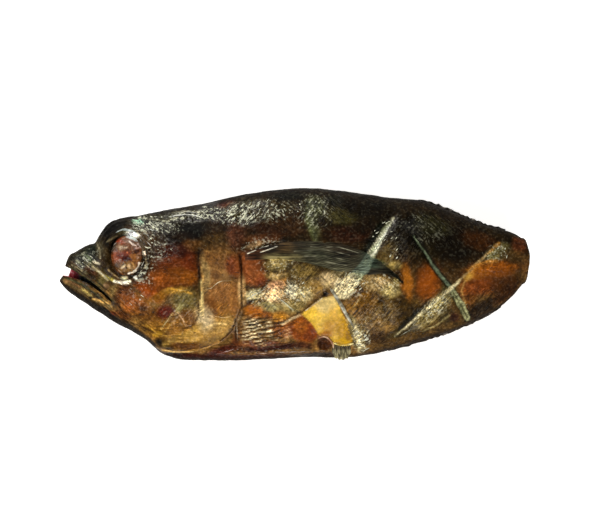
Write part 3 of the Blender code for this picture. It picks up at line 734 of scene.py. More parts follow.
MIDDLE_SPOTS = (
    (-24, 31, 10, 5.5, 5, "#49442f", 0.85), (-10, 31, 10, 5, 5, "#463e29", 0.85),
    (-3, 38.5, 8, 2.6, 0, "#10120f", 0.9), (0, 26, 10, 5, 0, "#402c1d", 0.85),
    (10, 33, 5, 5, 0, "#525a46", 0.85), (9, 24, 3, 7, 12, "#4b5242", 0.85),
    (20, 36, 5, 3, 0, "#1b1f17", 0.85), (24, 29, 8, 4, 0, "#4a4a2e", 0.8),
    (28, 20, 12, 4, 0, "#381a11", 0.85), (5, 11, 14, 4, 0, "#2b2618", 0.8),
    (5, 1, 7, 4.4, 0, "#71623d", 0.9), (8, -4.5, 5, 2.6, 0, "#7d6a41", 0.85),
    (11.5, -7, 3.6, 3.6, 0, "#8f7545", 0.9), (18, -2.6, 5, 4, 0, "#b3a384", 0.92),
    (16, 5.5, 9, 3, -10, "#49442f", 0.8), (25, 2, 6, 3, 10, "#55523f", 0.8),
    (36, 33, 13, 5, -3, "#1c150c", 0.92), (34, 24, 7, 4, 0, "#25190f", 0.9),
    (57, 22, 12, 7, 0, "#17120a", 0.9), (50, 17, 5, 6, 0, "#251e12", 0.9),
    (45.5, 10, 4, 6, -20, "#635639", 0.85), (49, 4.4, 4, 2.2, 0, "#8c7e50", 0.85),
    (37, 4.6, 6.4, 3, -8, "#50755e", 0.85), (40, -4.5, 7, 3.6, 0, "#a08b62", 0.9),
    (43.5, -5, 4.6, 2.8, -10, "#9a8868", 0.85), (47.5, -8, 4.4, 3.6, 0, "#a89c6c", 0.92),
    (50.4, -3.6, 2.4, 1.2, -35, "#9a8f62", 0.85), (34, -13, 8, 5, -20, "#785616", 0.95),
    (45, -18, 7, 5.5, 0, "#665127", 0.92), (37, -23, 8, 4.2, 0, "#775d30", 0.9),
    (46, -26, 5, 2.8, 0, "#8a6d3c", 0.9), (32, -31, 4.4, 6, 15, "#776d44", 0.85),
    (42, -31.6, 10, 3, 12, "#4b3418", 0.9), (56, -18, 5, 6, 0, "#46350f", 0.92),
    (55, -28, 9, 2.4, 20, "#4b442c", 0.8), (55.6, -4, 2.9, 8.2, 9, "#a4661c", 0.96),
    (59.4, -4, 0.8, 7, 6, "#5c421c", 0.8), (66.5, -3.5, 5.6, 8.4, -10, "#96500f", 0.98),
    (66, 14, 9, 8, 0, "#25210f", 0.85),
)
TAIL_SPOTS = (
    (80, 14, 11, 9, -10, "#1c150d", 0.92), (92, 16, 9, 4.6, -15, "#4a2b13", 0.85),
    (70, -16, 10, 3.4, 40, "#a19a70", 0.95), (67, -22, 7, 3, 30, "#857a51", 0.9),
    (75, -20, 4, 4, 0, "#4a442d", 0.8), (76, -8, 3, 4, 0, "#55523a", 0.8),
    (86, -9, 5.5, 7, 0, "#7a4c22", 0.92), (88.5, 0.5, 5, 2.4, 38, "#b2994e", 0.95),
    (92, -6, 9, 4.4, 8, "#84441a", 0.9), (104, -4, 8, 4, 20, "#5a3314", 0.85),
    (98.5, 2.2, 13, 3.8, 7, "#8b4e0d", 0.97), (93, 0.6, 6, 2, 35, "#9c5d16", 0.8),
    (68, 24, 9, 5, -20, "#33362a", 0.8), (113, 13, 3.4, 3.6, 0, "#6e3519", 0.85),
    (115.5, 5, 2.2, 5, 0, "#63452a", 0.8), (101, 10, 6.5, 3.4, 35, "#6f6d4e", 0.88),
    (110, 9.5, 7, 3.6, 0, "#57432a", 0.85), (105, -9, 10, 3.8, 40, "#46280a", 0.92),
    (92, -18, 9, 3.6, 30, "#2b1c0e", 0.92), (79.5, -21, 2.6, 2.8, 0, "#4a220d", 0.9),
    (113, 15.5, 4, 3.4, 0, "#5a3222", 0.85),
)
for *shape, colour, strength in HEAD_SPOTS + GILL_SPOTS:
    lay(spot_mask(*shape), colour, strength)
for *shape, colour, strength in SHOULDER_SPOTS + MIDDLE_SPOTS + TAIL_SPOTS:
    lay(spot_mask(*shape) * (0.35 + 0.65 * upper), colour, strength)

# The panel where the skin pulled away over golden flesh, and the rusty fold beside it.
gold = upper * ease(-0.3, 0.5, inside_field(x + 0.25 * warp_x, y + 0.25 * warp_y, GOLD_PANEL))
rust = upper * ease(-1.2, 1.2, inside_field(x + 0.5 * warp_x, y + 0.5 * warp_y, RUST_PANEL))
lay(rust, "#8f4812", 0.97)
lay(rust * spot_mask(3.4, -25.4, 4.8, 3.4, -35), "#96561a", 0.95)
lay(rust * spot_mask(9.6, -27.0, 2.2, 2.6, 20), "#8f3f0a", 0.85)
lay(rust * spot_mask(9, -30, 4, 3, 0), "#7c3a10", 0.8)
lay(gold, "#cfae46", 1.0)
for *shape, colour, strength in (
    (16.0, -14, 6, 4, 30, "#c6b47b", 0.9), (8.5, -20.5, 5.5, 3.4, -35, "#dab944", 0.9),
    (24.5, -27.5, 4.5, 7, 15, "#b48c1e", 0.95), (17.0, -27, 3.0, 5, -20, "#b88a34", 0.8),
    (14.6, -30, 4, 2.0, 20, "#96602a", 0.8), (24, -33, 5, 1.2, 0, "#c49e1c", 0.9),
    (27.4, -31, 1.6, 3, 15, "#8f6a14", 0.7), (20, -20, 2.0, 5, 25, "#c9a040", 0.6),
):
    lay(gold * spot_mask(*shape), colour, strength)

# Pale lines that the net's cords left, each with a painted shadow beside it.
frayed = cloud(points, 2.2, 171, 3)
STRIPE_SPACING = 2.1  # of the pressed rows across the broad mark
stripes = np.sin(2 * math.pi * (0.80 * x - 0.60 * y + 0.5 * frayed) / STRIPE_SPACING)


def cord_mark(name):
    """Distance from a net mark's middle, 1 on its left, and how far along it."""
    distance, side, reached = along_path(x + 0.3 * warp_x, y + 0.3 * warp_y, NET_MARKS[name])
    return distance + 0.5 * frayed, side, reached


def beside(distance, side, offset, width):
    """1 along a band at this offset to one side of a mark."""
    return bump(np.where(side > 0, distance - offset, distance + offset), width)


distance, side, reached = cord_mark("broad")
# Painted shadow beside the broad mark.
shadow = ease(0.02, 0.15, reached) * ease(0.7, 0.5, reached)
lay(upper * shadow * beside(distance, -side, 3.0, 1.8), "#0c1a16", 0.95)
wide = np.interp(reached, (0, 0.3, 0.6, 0.8, 1), (0.6, 1.3, 2.2, 3.2, 4.4))
broad = upper * ease(wide + 0.6, wide - 0.5, distance)
lay(broad * ease(0.0, 0.15, reached), "#8b9a8a", 0.9)
# Painted highlight along one side of the broad mark's upper part.
lay(broad * beside(distance, side, 0.8, 0.6) * ease(0.45, 0.3, reached), "#e0e8dc", 0.85)
lay(broad * bump(reached - 0.6, 0.12), "#64766a", 0.85)
lay(broad * ease(0.68, 0.85, reached), "#cdc5a4", 0.95)
lay(upper * ease(0.2, 0.8, stripes) * broad * ease(0.6, 0.8, reached), "#6b6248", 0.5)
upper_end = broad * ease(0.1, 0.3, reached) * ease(0.5, 0.4, reached)
lay(upper * ease(0.2, 0.8, -stripes) * upper_end, "#e4e6d4", 0.8)
distance, side, reached = cord_mark("steep")
# Painted shadow along both sides of the steep mark.
lay(upper * ease(2.2, 1.0, distance), "#17180f", 0.85)
wide = np.interp(reached, (0, 0.5, 0.75, 1), (0.4, 0.9, 1.6, 1.4))
steep = upper * ease(wide + 0.4, wide - 0.4, distance)
lay(steep, "#5f736f", 0.95)
lay(steep * ease(0.45, 0.6, reached), "#8f957a", 0.9)
lay(steep * ease(0.5, 0.6, reached) * ease(0.5, 0.15, distance), "#353f33", 0.7)
distance, side, reached = cord_mark("cross")
# Painted shadow beside the lower end of the cross mark.
belly_end = ease(0.02, 0.1, reached) * ease(0.42, 0.3, reached)
lay(upper * beside(distance, side, 2.0, 1.4) * belly_end, "#0f1812", 0.9)
wide = np.interp(reached, (0, 0.25, 0.5, 0.55, 0.62, 0.9, 1), (0.2, 0.5, 0.6, 1.1, 0.3, 0.4, 1.0))
cross = upper * ease(wide + 0.5, wide - 0.4, distance)
lay(cross * ease(0.95, 0.85, reached), "#c3c0a4", 0.9)
lay(cross * ease(0.58, 0.66, reached), "#8f6a34", 0.8)

# Seams, creases and threads of the skin, as streaks: those of the jaws first, then the others. A few
# are painted highlights, glints or shade instead, as noted.
JAW_LINES = (
    (((-117, -5.4), (-109, -11), (-101, -15.6), (-92, -21), (-82, -26.6), (-71, -35.4)),
     2, 1, "#170e0c", 0.93),
    (((-114.6, -3.4), (-109, -6), (-102, -10.6), (-96, -13.9), (-91.6, -15.9)), 1.1, 1, "#706044", 0.85),
    (((-113.6, -2.2), (-106, -5), (-99, -9.4), (-92, -15.4)), 0.35, 0.4, "#4c5546", 0.85),
    (((-114.6, -3.4), (-110.6, -4.6), (-106.6, -6.6)), 0.7, 0.6, "#7d5d45", 0.8),
    (((-105.4, -7.6), (-101.6, -10)), 0.7, 0.6, "#a99b62", 0.85),
    (((-100, -12), (-95.4, -13.6), (-92.2, -14.6)), 0.6, 0.6, "#bf9a5c", 0.85),
    (((-102.6, -12), (-98.6, -11), (-95.6, -11.6)), 0.3, 0.4, "#3a2a15", 0.7),
    (((-112.6, 3.8), (-106.6, 0.4), (-100.4, -4), (-94.4, -8.8), (-90.4, -13)), 0.45, 0.5, "#4a4b3c", 0.85),
    (((-111, 4.6), (-106, 1.8), (-103.4, 0.2)), 0.4, 0.4, "#8f8b7a", 0.8),
    (((-104.6, 1.4), (-99, -2.2), (-93.4, -7.4)), 0.3, 0.4, "#1d1c13", 0.7),
    (((-98.2, 2.2), (-95.6, 0.2), (-92.2, -2.6)), 0.6, 0.5, "#b5ae90", 0.9),
    (((-91.6, 1.9), (-89.4, 0.4), (-87, -1.6)), 0.25, 0.5, "#a39173", 0.7),
    (((-95.6, 2.8), (-92, -0.6), (-88.6, -2.4)), 0.3, 0.4, "#4f4a24", 0.8),
    (((-92.8, -1.2), (-90.6, -2.6), (-88.2, -3.4)), 0.6, 0.6, "#a59d48", 0.85),
    # Painted highlight in the white band under the eye.
    (((-88.8, -3.4), (-85.6, -4.1), (-82.8, -4), (-81.2, -3.5)), 0.65, 0.5, "#ebe8da", 0.95),
    (((-85.8, -1.7), (-83.4, -2.7), (-81.6, -3.3)), 0.25, 0.3, "#a9c0ae", 0.75),
    # Painted shade in the groove round the eyeball, low on its rear side.
    (((-81.6, -1.6), (-78.2, 0.2), (-75.4, 3.2), (-74.4, 8)), 0.7, 0.6, "#15110c", 0.8),
    (((-73.6, 8.6), (-72.6, 5.6), (-73.4, 3.2)), 0.3, 0.35, "#a3977c", 0.75),
    (((-92.6, 16.2), (-88.6, 18.4), (-86, 18.6)), 0.4, 0.5, "#7c776b", 0.7),
    (((-98.6, 15.4), (-96.6, 12), (-96.4, 8)), 0.35, 0.4, "#8a867c", 0.7),
    (((-87.6, -14.6), (-85.4, -18.6), (-80.4, -20.8), (-75, -19.6)), 0.4, 0.5, "#34200f", 0.75),
    (((-86.2, -9.4), (-84.4, -6.6), (-81, -5.4)), 0.3, 0.4, "#2b1a10", 0.7),
)
SKIN_LINES = (
    (GILL_EDGE[1:5], 0.2, 0.3, "#2c130a", 0.9),
    (GILL_EDGE[4:], 0.4, 0.4, "#2c130a", 0.9),
    (CHEEK_GROOVE[1:], 0.4, 0.5, "#1c0d0a", 0.85),
    (((-45.8, -9), (-45.4, -14), (-45.2, -20)), 0.5, 1, "#bcae80", 0.8),
    (((-46, -25), (-52, -28.5), (-58, -31), (-64, -35)), 1.4, 1.4, "#a98c48", 0.6),
    (((-26, -16.6), (-19.4, -12.2), (-13.2, -4.2)), 0.45, 0.4, "#33200f", 0.85),
    (((15, -10), (5, -17.6), (-1, -20.6), (-8, -24.6)), 0.5, 0.45, "#38220f", 0.85),
    (((3, -19.8), (-1.4, -21.8), (-6, -24.4)), 0.35, 0.35, "#dcc8a2", 0.8),
    (((-66, -38.6), (-56, -38.7), (-46, -37.2), (-37, -33.4)), 0.3, 0.35, "#b58a45", 0.75),
    (((-72.6, 12), (-71.4, 5), (-75, -0.6), (-80, -3.6)), 0.5, 0.5, "#1d1410", 0.7),
    (((-68, -4), (-71, -9.4), (-74.5, -14.4)), 0.4, 0.5, "#5a2a10", 0.5),
    (((-62, -6.8), (-55, -7.6), (-50.4, -9.4)), 0.35, 0.5, "#c79a3e", 0.7),
    (((-46.8, -14), (-47, -20), (-49.4, -24.8), (-54.4, -26.6)), 0.4, 0.4, "#41260f", 0.75),
    (((-76.6, -24), (-71, -21), (-69, -17.4)), 0.4, 0.5, "#3d2610", 0.7),
    (((-85.4, -22.8), (-78, -25.4), (-69, -29)), 0.4, 0.5, "#35200f", 0.7),
    (((-45.8, -3.4), (-45.6, -12), (-45.2, -18)), 0.7, 0.9, "#bfae7c", 0.85),
    (((-46.9, 3.4), (-46.6, -4), (-46.2, -12)), 0.5, 0.5, "#231a10", 0.85),
    (((-44, 11.6), (-38, 11.2), (-31, 10.8)), 0.2, 0.5, "#7d603a", 0.5),
    (((-44, 2.2), (-40.6, 3.2), (-36.6, 2), (-33.2, 0)), 0.2, 0.5, "#a07a4e", 0.45),
    (((-37.4, -4.2), (-38.6, -8.4), (-42.4, -11.4), (-44, -14.4)), 0.2, 0.5, "#a37c50", 0.45),
    (((-26, 9), (-25.8, -2), (-25.4, -12)), 0.35, 0.3, "#1c0f09", 0.9),
    (((-28.9, -22), (-28.9, -28), (-28.7, -33)), 0.35, 0.4, "#140c08", 0.85),
    (((27.6, -22), (30.6, -29), (33, -37)), 2, 1.2, "#a39c7a", 0.85),
    (((29.4, -25), (31, -30), (33, -36)), 0.6, 0.6, "#cfcbb0", 0.8),
    (((26.6, -24), (28.6, -30), (30.4, -36)), 0.5, 0.5, "#4b442c", 0.7),
    (((26.4, -19), (28.4, -24), (30.4, -30)), 0.5, 0.5, "#2a2415", 0.6),
    (((-4, 9.4), (6, 9), (14, 7)), 0.4, 0.5, "#1a160e", 0.7),
    (((6.6, 36.5), (7, 30), (9, 22), (11, 16)), 0.5, 0.7, "#59645a", 0.6),
    (((13.4, -1.2), (15.6, -3.4), (17.8, -6.4)), 0.3, 0.4, "#3d3320", 0.7),
    (((19.6, -2), (24, 1.4), (28.4, 4.4)), 0.3, 0.5, "#8d876a", 0.6),
    (((46.4, 1.6), (50.4, -0.6), (53, -4.2)), 0.5, 0.4, "#1d2219", 0.85),
    (((39, 2.4), (43, 2.2), (47, 3)), 0.35, 0.4, "#1e261d", 0.75),
    (((38.6, 4.2), (42.6, 4.6), (46, 5.4)), 0.3, 0.4, "#79706a", 0.6),
    # Painted highlight along the front rim of the gill cover.
    (((-45.6, 3.4), (-45, -2.6), (-45.3, -8)), 0.3, 0.4, "#b8955c", 0.8),
    (((-38.4, -4), (-35.6, -8.6), (-34.6, -14), (-36, -19.6)), 0.2, 0.35, "#6b4022", 0.6),
    (((-43, -12.4), (-40.8, -17.4), (-38.6, -20.4)), 0.2, 0.35, "#5e381c", 0.6),
    (((-30.6, -3.4), (-30.2, -10), (-31.4, -17.6)), 0.3, 0.4, "#a77a45", 0.6),
    (((-43.6, -26.4), (-38, -24), (-33.4, -24.4)), 0.3, 0.5, "#e3c88c", 0.6),
    (((-40, -30.4), (-35.4, -28.6), (-31.4, -25.4)), 0.3, 0.5, "#9a7038", 0.5),
    (((-66, -27.4), (-63, -23.4), (-60, -19.2)), 0.22, 0.35, "#bfa562", 0.75),
    (((-64, -28.4), (-60.4, -23.6)), 0.2, 0.3, "#b39657", 0.7),
    (((-60, -16.6), (-56.4, -11.6), (-52.6, -8)), 0.2, 0.4, "#5c5230", 0.7),
    (((-57.4, -18.8), (-54.8, -22.4), (-53.6, -25.4)), 0.25, 0.3, "#dbb488", 0.7),
    (((-73.6, -25.6), (-67.4, -29.6), (-61, -31.4)), 0.3, 0.5, "#bb933f", 0.6),
    (((-62, -33.4), (-54, -33.2), (-48, -31.6)), 0.3, 0.5, "#d2ae62", 0.6),
    (((-66, -38), (-60, -38.6), (-52, -38.4)), 0.25, 0.3, "#d8b471", 0.8),
    (((-9.6, -10.4), (-4.6, -13.8), (-0.4, -17.6)), 0.25, 0.35, "#c3c6b2", 0.75),
    (((-6.6, -12.4), (-2, -16), (2.4, -18.2)), 0.25, 0.35, "#6f7664", 0.6),
    (((-15.6, -9.4), (-12.4, -13), (-9, -16.4)), 0.25, 0.35, "#8d9384", 0.6),
    # Painted glints under the eye.
    (((-79.2, -0.9), (-77.6, -1.8)), 0.5, 0.5, "#fbf5ea", 0.97),
    (((-84.8, -0.9), (-83.4, -1.3)), 0.5, 0.4, "#f0e2bc", 0.95),
    (((-3.4, -2.4), (-4.4, -7), (-6, -10.4)), 0.22, 0.35, "#8a7346", 0.6),
    (((-13.6, -1), (-10.6, 2.2), (-6.6, 3.4), (-1.6, 2.6)), 0.25, 0.4, "#5e5430", 0.7),
    (((-12.4, 7.4), (-6, 7.2), (1.4, 7.2)), 0.3, 0.35, "#b3a468", 0.8),
    (((-24.4, 1), (-19.4, -3.4), (-15.6, -5.8)), 0.25, 0.35, "#5c2c16", 0.7),
    (((5.7, 29.5), (8, 21), (10.3, 13.4)), 0.6, 0.8, "#5d6a50", 0.6),
    (((14.6, -6.4), (17.2, -4), (20.6, -1.6), (24, 1.6)), 0.4, 0.6, "#b6a579", 0.6),
    (((26.6, -12.4), (29.6, -10.4), (32.4, -8.6)), 0.3, 0.3, "#2a2410", 0.85),
    (((27.6, -18.4), (30.2, -14.6), (32.6, -11.4)), 0.22, 0.3, "#a3895a", 0.7),
    (((36.6, -23.4), (40.2, -19.2), (43, -15.4)), 0.2, 0.3, "#a98f55", 0.75),
    (((32.6, -27.4), (34.6, -24.6), (36.2, -21)), 0.2, 0.3, "#97814e", 0.6),
    (((42.6, -26.4), (45.8, -22), (48, -18)), 0.2, 0.3, "#8d7644", 0.6),
    (((64, -28.4), (71, -25.2), (77, -20.4)), 0.3, 0.4, "#9a9472", 0.7),
    (((50.2, 2.6), (53, -0.6), (53.6, -5)), 0.25, 0.4, "#3a2712", 0.7),
    (((84.4, -3.4), (82.6, -8.4), (84.6, -14)), 0.35, 0.6, "#a98a58", 0.6),
    (((85.6, 1.6), (90, 4.4), (95.4, 6.2), (101, 6.4)), 0.5, 0.7, "#b37c33", 0.75),
    # Painted highlights along the crown, where the key light's reflection falls.
    (((-71.6, 27.6), (-64, 26.2), (-57.4, 28.6)), 0.3, 0.4, "#8f9288", 0.6),
    (((-60.4, 31), (-52, 31.4), (-45.6, 30.4)), 0.25, 0.3, "#b9bab0", 0.6),
)
for path, half_width, soft, colour, strength in JAW_LINES + SKIN_LINES:
    lay(streak_mask(path, half_width, soft), colour, strength)

to_hollow = np.hypot(x - BELLY_HOLLOW[0] + 0.3 * warp_x, y - BELLY_HOLLOW[1])
lay(upper * ease(4.4, 3.2, to_hollow), "#4c2416", 0.9)
# Painted shade in the small hole by the strand.
to_hole = np.hypot(x - STRAND_HOLE[0], y - STRAND_HOLE[1] + 0.1)
lay(upper * ease(1.9, 1.0, to_hole), "#1f1109", 0.9)
# Painted highlights on the crests of the belly's wrinkles, and painted shade in the hollows between them.
crest = ease(0.3, 0.9, rows) * wrinkled
lay(crest * ease(-0.3, 0.3, ripple(points, 3.0, 91)), "#e2d8b4", 0.85)
lay(ease(0.0, 0.6, -rows) * wrinkled * ease(-0.6, 0.1, ripple(points, 4.0, 92)), "#20130b", 0.85)
lay(ease(0.90, 1.0, np.abs(across)) * ease(-112, -100, x), "#1c1310", 0.85)
tone = tone * tone.mean(axis=1, keepdims=True) ** SMOKE_DEPTH * SMOKE_GLAZE
put_paint(body, "paint", tone)

# Where dried scales show silver specks with painted glints, as spots with their strength.
SILVER_GLINT_SPOTS = (
    (-26, 30, 12, 5, 5, 0.9), (-50, 29.4, 14, 2.4, 6, 0.8), (-68, 24, 11, 4.4, -5, 0.45),
    (-67, 12, 8, 6, 0, 0.2), (-76, 25, 4, 4, 0, 0.8), (-10, 31, 8, 5, 0, 0.55), (10, 31, 8, 8, 0, 0.3),
    (57, 26, 9, 4, 0, 0.1), (49, 13, 6, 9, 0, 0.06), (66, 20, 8, 5, 0, 0.1), (-102, 7, 7, 5, 20, 0.3),
    (-17, 15, 9, 3, 16, 0.28), (0, -8, 9, 6, 0, 0.5), (-14, -9, 10, 4, 20, 0.45), (28, -5, 8, 7, 0, 0.45),
    (33, -31, 3.4, 7, 0, 0.6), (44, -17, 8, 8, 0, 0.12), (34, -24, 6, 7, 0, 0.12),
    (69, -17, 10, 4, 40, 0.5), (100, 10, 7, 4, 35, 0.25), (-80, 19.8, 4.4, 2, -8, 0.7),
    (-78, -12, 9, 5, 0, 0.12), (-58, -19, 9, 8, 0, 0.1), (-74, 2, 5, 8, 0, 0.4), (-52, -30, 12, 4, 0, 0.06),
    (45, -4, 7, 5, 0, 0.35), (-8, 4, 9, 5, 0, 0.3),
)
bare = 1 - 0.85 * spot_mask(-33, 34.8, 4.8, 1.7, 4)  # a patch of the nape that lost its scales
put_paint(body, "silver", strongest(SILVER_GLINT_SPOTS, 0.02) * bare)

# Where the skin is calm: drawn tight, without streaks.
CALM_SPOTS = (
    (-36, -8, 9, 16, 0, 0.55), (-58, 4, 11, 10, 0, 0.45), (-64, -14, 18, 10, -20, 0.4),
    (-50, -31, 16, 6, 0, 0.5), (66, -3, 6, 9, -10, 0.7), (56, -3, 4, 9, 8, 0.6), (98, -1, 13, 5, 4, 0.7),
    (-22, 2, 7, 8, 0, 0.5), (-21, -18.5, 5, 3, 0, 0.7), (-82, -13, 7, 6, 0, 0.35), (-49, 21, 7, 5, 0, 0.6),
    (80, 12, 12, 9, 0, 0.4),
)
put_paint(body, "calm", np.maximum(np.maximum(0.7 * gold, 0.3 * rust), strongest(CALM_SPOTS, 0.0)))

# Where fat and brine keep the skin glossy; elsewhere dry smoke dulls it.
WET_SPOTS = (
    (-53, 29, 12, 3, 4, 1), (-71, 24, 10, 4, -5, 0.8), (-78, 26, 4, 2.5, 0, 0.8),
    (-79.6, 19.7, 4.2, 1.8, -8, 1), (-103, 6.5, 7, 4, -15, 0.8), (-67, 12.5, 9, 6, -10, 0.9),
    (-83, 0, 12, 5, 0, 0.7), (-78, -12, 8, 6, -20, 0.7), (-56, -17, 9, 9, 0, 0.7),
    (-52, -31, 12, 5, -6, 0.8), (-36, 2, 8, 7, 0, 0.5), (-34, -22, 9, 6, 0, 0.7), (-24, 30, 12, 6, 8, 0.9),
    (-41, 31, 7, 4, -10, 0.9), (-16, 14, 10, 4, 18, 0.9), (-14, -10, 12, 7, 20, 0.8),
    (-16, -28, 12, 7, 0, 1), (-7, 4, 8, 4, 0, 0.6), (3, -7, 8, 6, 0, 0.6), (16, -6, 10, 6, 0, 0.6),
    (10, 31, 7, 7, 0, 0.35), (29, -4, 11, 8, 40, 0.9), (43, 19, 3.5, 11, -32, 1), (50, 12, 5, 7, 0, 0.8),
    (44, -7, 7, 5, 0, 0.6), (39, -20, 12, 9, 0, 0.6), (17, -23, 9, 12, 0, 0.45), (31, -31, 4, 8, 15, 0.9),
    (66, -19, 13, 4, 38, 0.9), (58, 24, 7, 4, 0, 0.5), (100, 10, 6, 4, 35, 0.6), (98, 0, 12, 4, 8, 0.3),
    (-10, -38.6, 32, 1.6, 0, 0.9), (-62, -38.2, 8, 1.4, -4, 0.9), (-98, -8, 12, 3, -40, 0.7),
    (-30, -37, 8, 1.6, 18, 0.8),
)
SOOTY_SLOT = 2  # the sooty skin's place among the body's materials
wetness = strongest(WET_SPOTS, 0.05, soft=0.6)
put_paint(body, "wet", wetness)
corners = np.empty(len(body.data.loops), int)
body.data.loops.foreach_get("vertex_index", corners)
first_corner, finish = np.empty((2, len(body.data.polygons)), int)
body.data.polygons.foreach_get("loop_start", first_corner)
body.data.polygons.foreach_get("material_index", finish)
worn = np.random.default_rng(9).uniform(0.15, 0.45, len(finish))  # tar thins out unevenly at its rims
finish[(wetness[corners[first_corner]] < worn) & (finish == 0)] = SOOTY_SLOT
body.data.polygons.foreach_set("material_index", finish)

# Which way the skin's fine streaks run at a place: level, rising towards the tail, or falling.
LEVEL_GRAIN = (
    (-58, 4, 14, 12, 0, 0.55), (-52, 29, 12, 4, 5, 1), (20, 14, 40, 6, 0, 0.8), (-58, -32, 16, 6, -10, 0.7),
    (98, 0, 14, 5, 10, 0.5), (-20, -36, 24, 3, 0, 0.8), (60, -33, 24, 6, 15, 0.5), (-30, 38, 30, 3, 8, 0.6),
)
RISING_GRAIN = (
    (-25, 31, 14, 7, 0, 1), (9, 31, 10, 9, 0, 1), (38, -20, 14, 12, 0, 1), (-56, -17, 12, 9, 0, 0.8),
    (55, 14, 10, 14, 0, 1), (68, -18, 14, 7, 38, 1), (-16, -12, 9, 6, 0, 0.9), (26, -6, 8, 7, 0, 1),
    (95, -16, 14, 7, 30, 0.7), (-38, -12, 9, 12, 0, 0.5), (8, 1, 10, 6, 0, 0.8), (-14, -27, 14, 8, 0, 0.5),
)
FALLING_GRAIN = (
    (-104, 0, 14, 9, -38, 1), (-96, -12, 16, 7, -38, 1), (-70, 24, 12, 7, 0, 1), (-42, 30, 7, 6, 0, 1),
    (-3, 30, 6, 8, 0, 0.8), (18, 33, 8, 7, 0, 1), (-4, -9, 10, 7, 0, 0.8), (70, 22, 14, 9, 0, 0.8),
    (46, -4, 9, 5, 0, 0.7), (84, 10, 12, 12, 0, 0.5), (-80, -24, 14, 5, -30, 0.7),
)
channels = [strongest(spots, 0.15) for spots in (LEVEL_GRAIN, RISING_GRAIN, FALLING_GRAIN)]
put_paint(body, "grain", np.stack(channels, axis=1))
put_paint(body, "scaly", ease(-40, -20, x) * (1 - gold) * (0.35 + 0.65 * ease(-0.2, 0.4, across)))
body.data.set_sharp_from_angle(angle=math.radians(70))
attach(body, "root")
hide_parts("body")

# -----------------------------------------------------------------------------
# The eyes: dried eyeballs, sunk in their sockets, with a wrinkled rusty skin over them and a
# dark dent where the lens was. They are glossy, because the smoke dried them like glass.
# -----------------------------------------------------------------------------
EYE_HALF = np.array((8.6, 10.2, 5.4))
EYE_SINK = 2.6
EYE_LEAN = (0.21, -0.09)  # rise along x and y, like the flank's
EYE_RINGS = 80
EYE_STEPS = 120
PUPIL = (-82.2, 7.9)
# Marks of dried tissue on the ball, as spots. The white, cream and pale pink specks among them and
# the blue-white crescent at its top are painted highlights.
EYE_MARKS = (
    (-83, 9, 9, 11, 0, "#7a4726", 0.8), (-90.2, 13.8, 2.4, 4.6, 25, "#383026", 0.9),
    (-89.2, 15.4, 2, 0.35, 30, "#a39b90", 0.8), (-90, 12.6, 1.6, 0.3, 15, "#8f8478", 0.7),
    (-88.6, 11.2, 1.2, 0.3, -20, "#9a8878", 0.7), (-86, 16.4, 3.2, 1.3, -12, "#8a3418", 0.95),
    (-82.4, 16.6, 2.4, 1, -8, "#6a4a35", 0.85), (-79, 14.6, 3, 2, -20, "#6c4630", 0.85),
    (-84.6, 13, 3, 1.1, 0, "#86664a", 0.9), (-85.6, 12.8, 0.8, 0.6, 10, "#d6bfa0", 0.9),
    (-83, 13.2, 1.1, 0.4, 12, "#e0c8a6", 0.9), (-88, 8.8, 2.4, 2.6, 0, "#93461f", 0.9),
    (-83.2, 9.2, 4.4, 2.4, 0, "#6d2a18", 0.9), (-78.6, 8, 2.4, 2.6, 0, "#98612e", 0.85),
    (-83, 3.2, 4.8, 2.8, 0, "#84602f", 0.9), (-82.2, 7.5, 2.2, 1.3, -12, "#32100b", 0.97),
    (-80.6, 7, 1.2, 0.8, -25, "#3c150c", 0.85), (-80.6, 15.2, 1.3, 0.3, -42, "#ffeedd", 1),
    (-79, 14.2, 1.3, 0.3, -35, "#f2dccb", 0.95), (-77.2, 15, 0.9, 0.35, 60, "#ecd3c6", 0.9),
    (-77.4, 13, 1.6, 0.3, 10, "#d9b4a8", 0.85), (-76.4, 13.9, 0.4, 0.9, 15, "#f4e2d8", 0.85),
    (-77.6, 11.2, 0.8, 1.3, -35, "#3a170d", 0.9), (-76.4, 10.2, 0.5, 1.2, -25, "#a87258", 0.8),
    (-84.3, 3.9, 1.3, 0.9, 35, "#e8cd9c", 1), (-81.4, 4.2, 0.6, 0.9, -15, "#d6b07e", 0.9),
    (-86.8, 2, 0.4, 0.5, 0, "#dcbc98", 0.9), (-85.8, 1, 0.5, 0.6, 0, "#e6ca9e", 0.9),
    (-79.4, 4.6, 0.5, 1.3, 20, "#c8924e", 0.8), (-82.2, 10.7, 0.4, 0.4, 0, "#d6743c", 0.9),
    (-81.2, 10, 0.3, 0.3, 0, "#d07040", 0.8), (-83.2, 0.9, 2.4, 0.6, 0, "#3d240f", 0.8),
    (-87.8, 4.6, 1.8, 1.6, -30, "#4a3218", 0.85), (-79.6, 18, 3.4, 1.1, -20, "#dfe9e7", 0.97),
)
# A thin painted highlight along the ball's lower rim.
EYE_RIM_HIGHLIGHT = ((-76.6, 5.6), (-77.0, 3.8), (-78.0, 2.3), (-79.6, 1.2), (-81.6, 0.7))

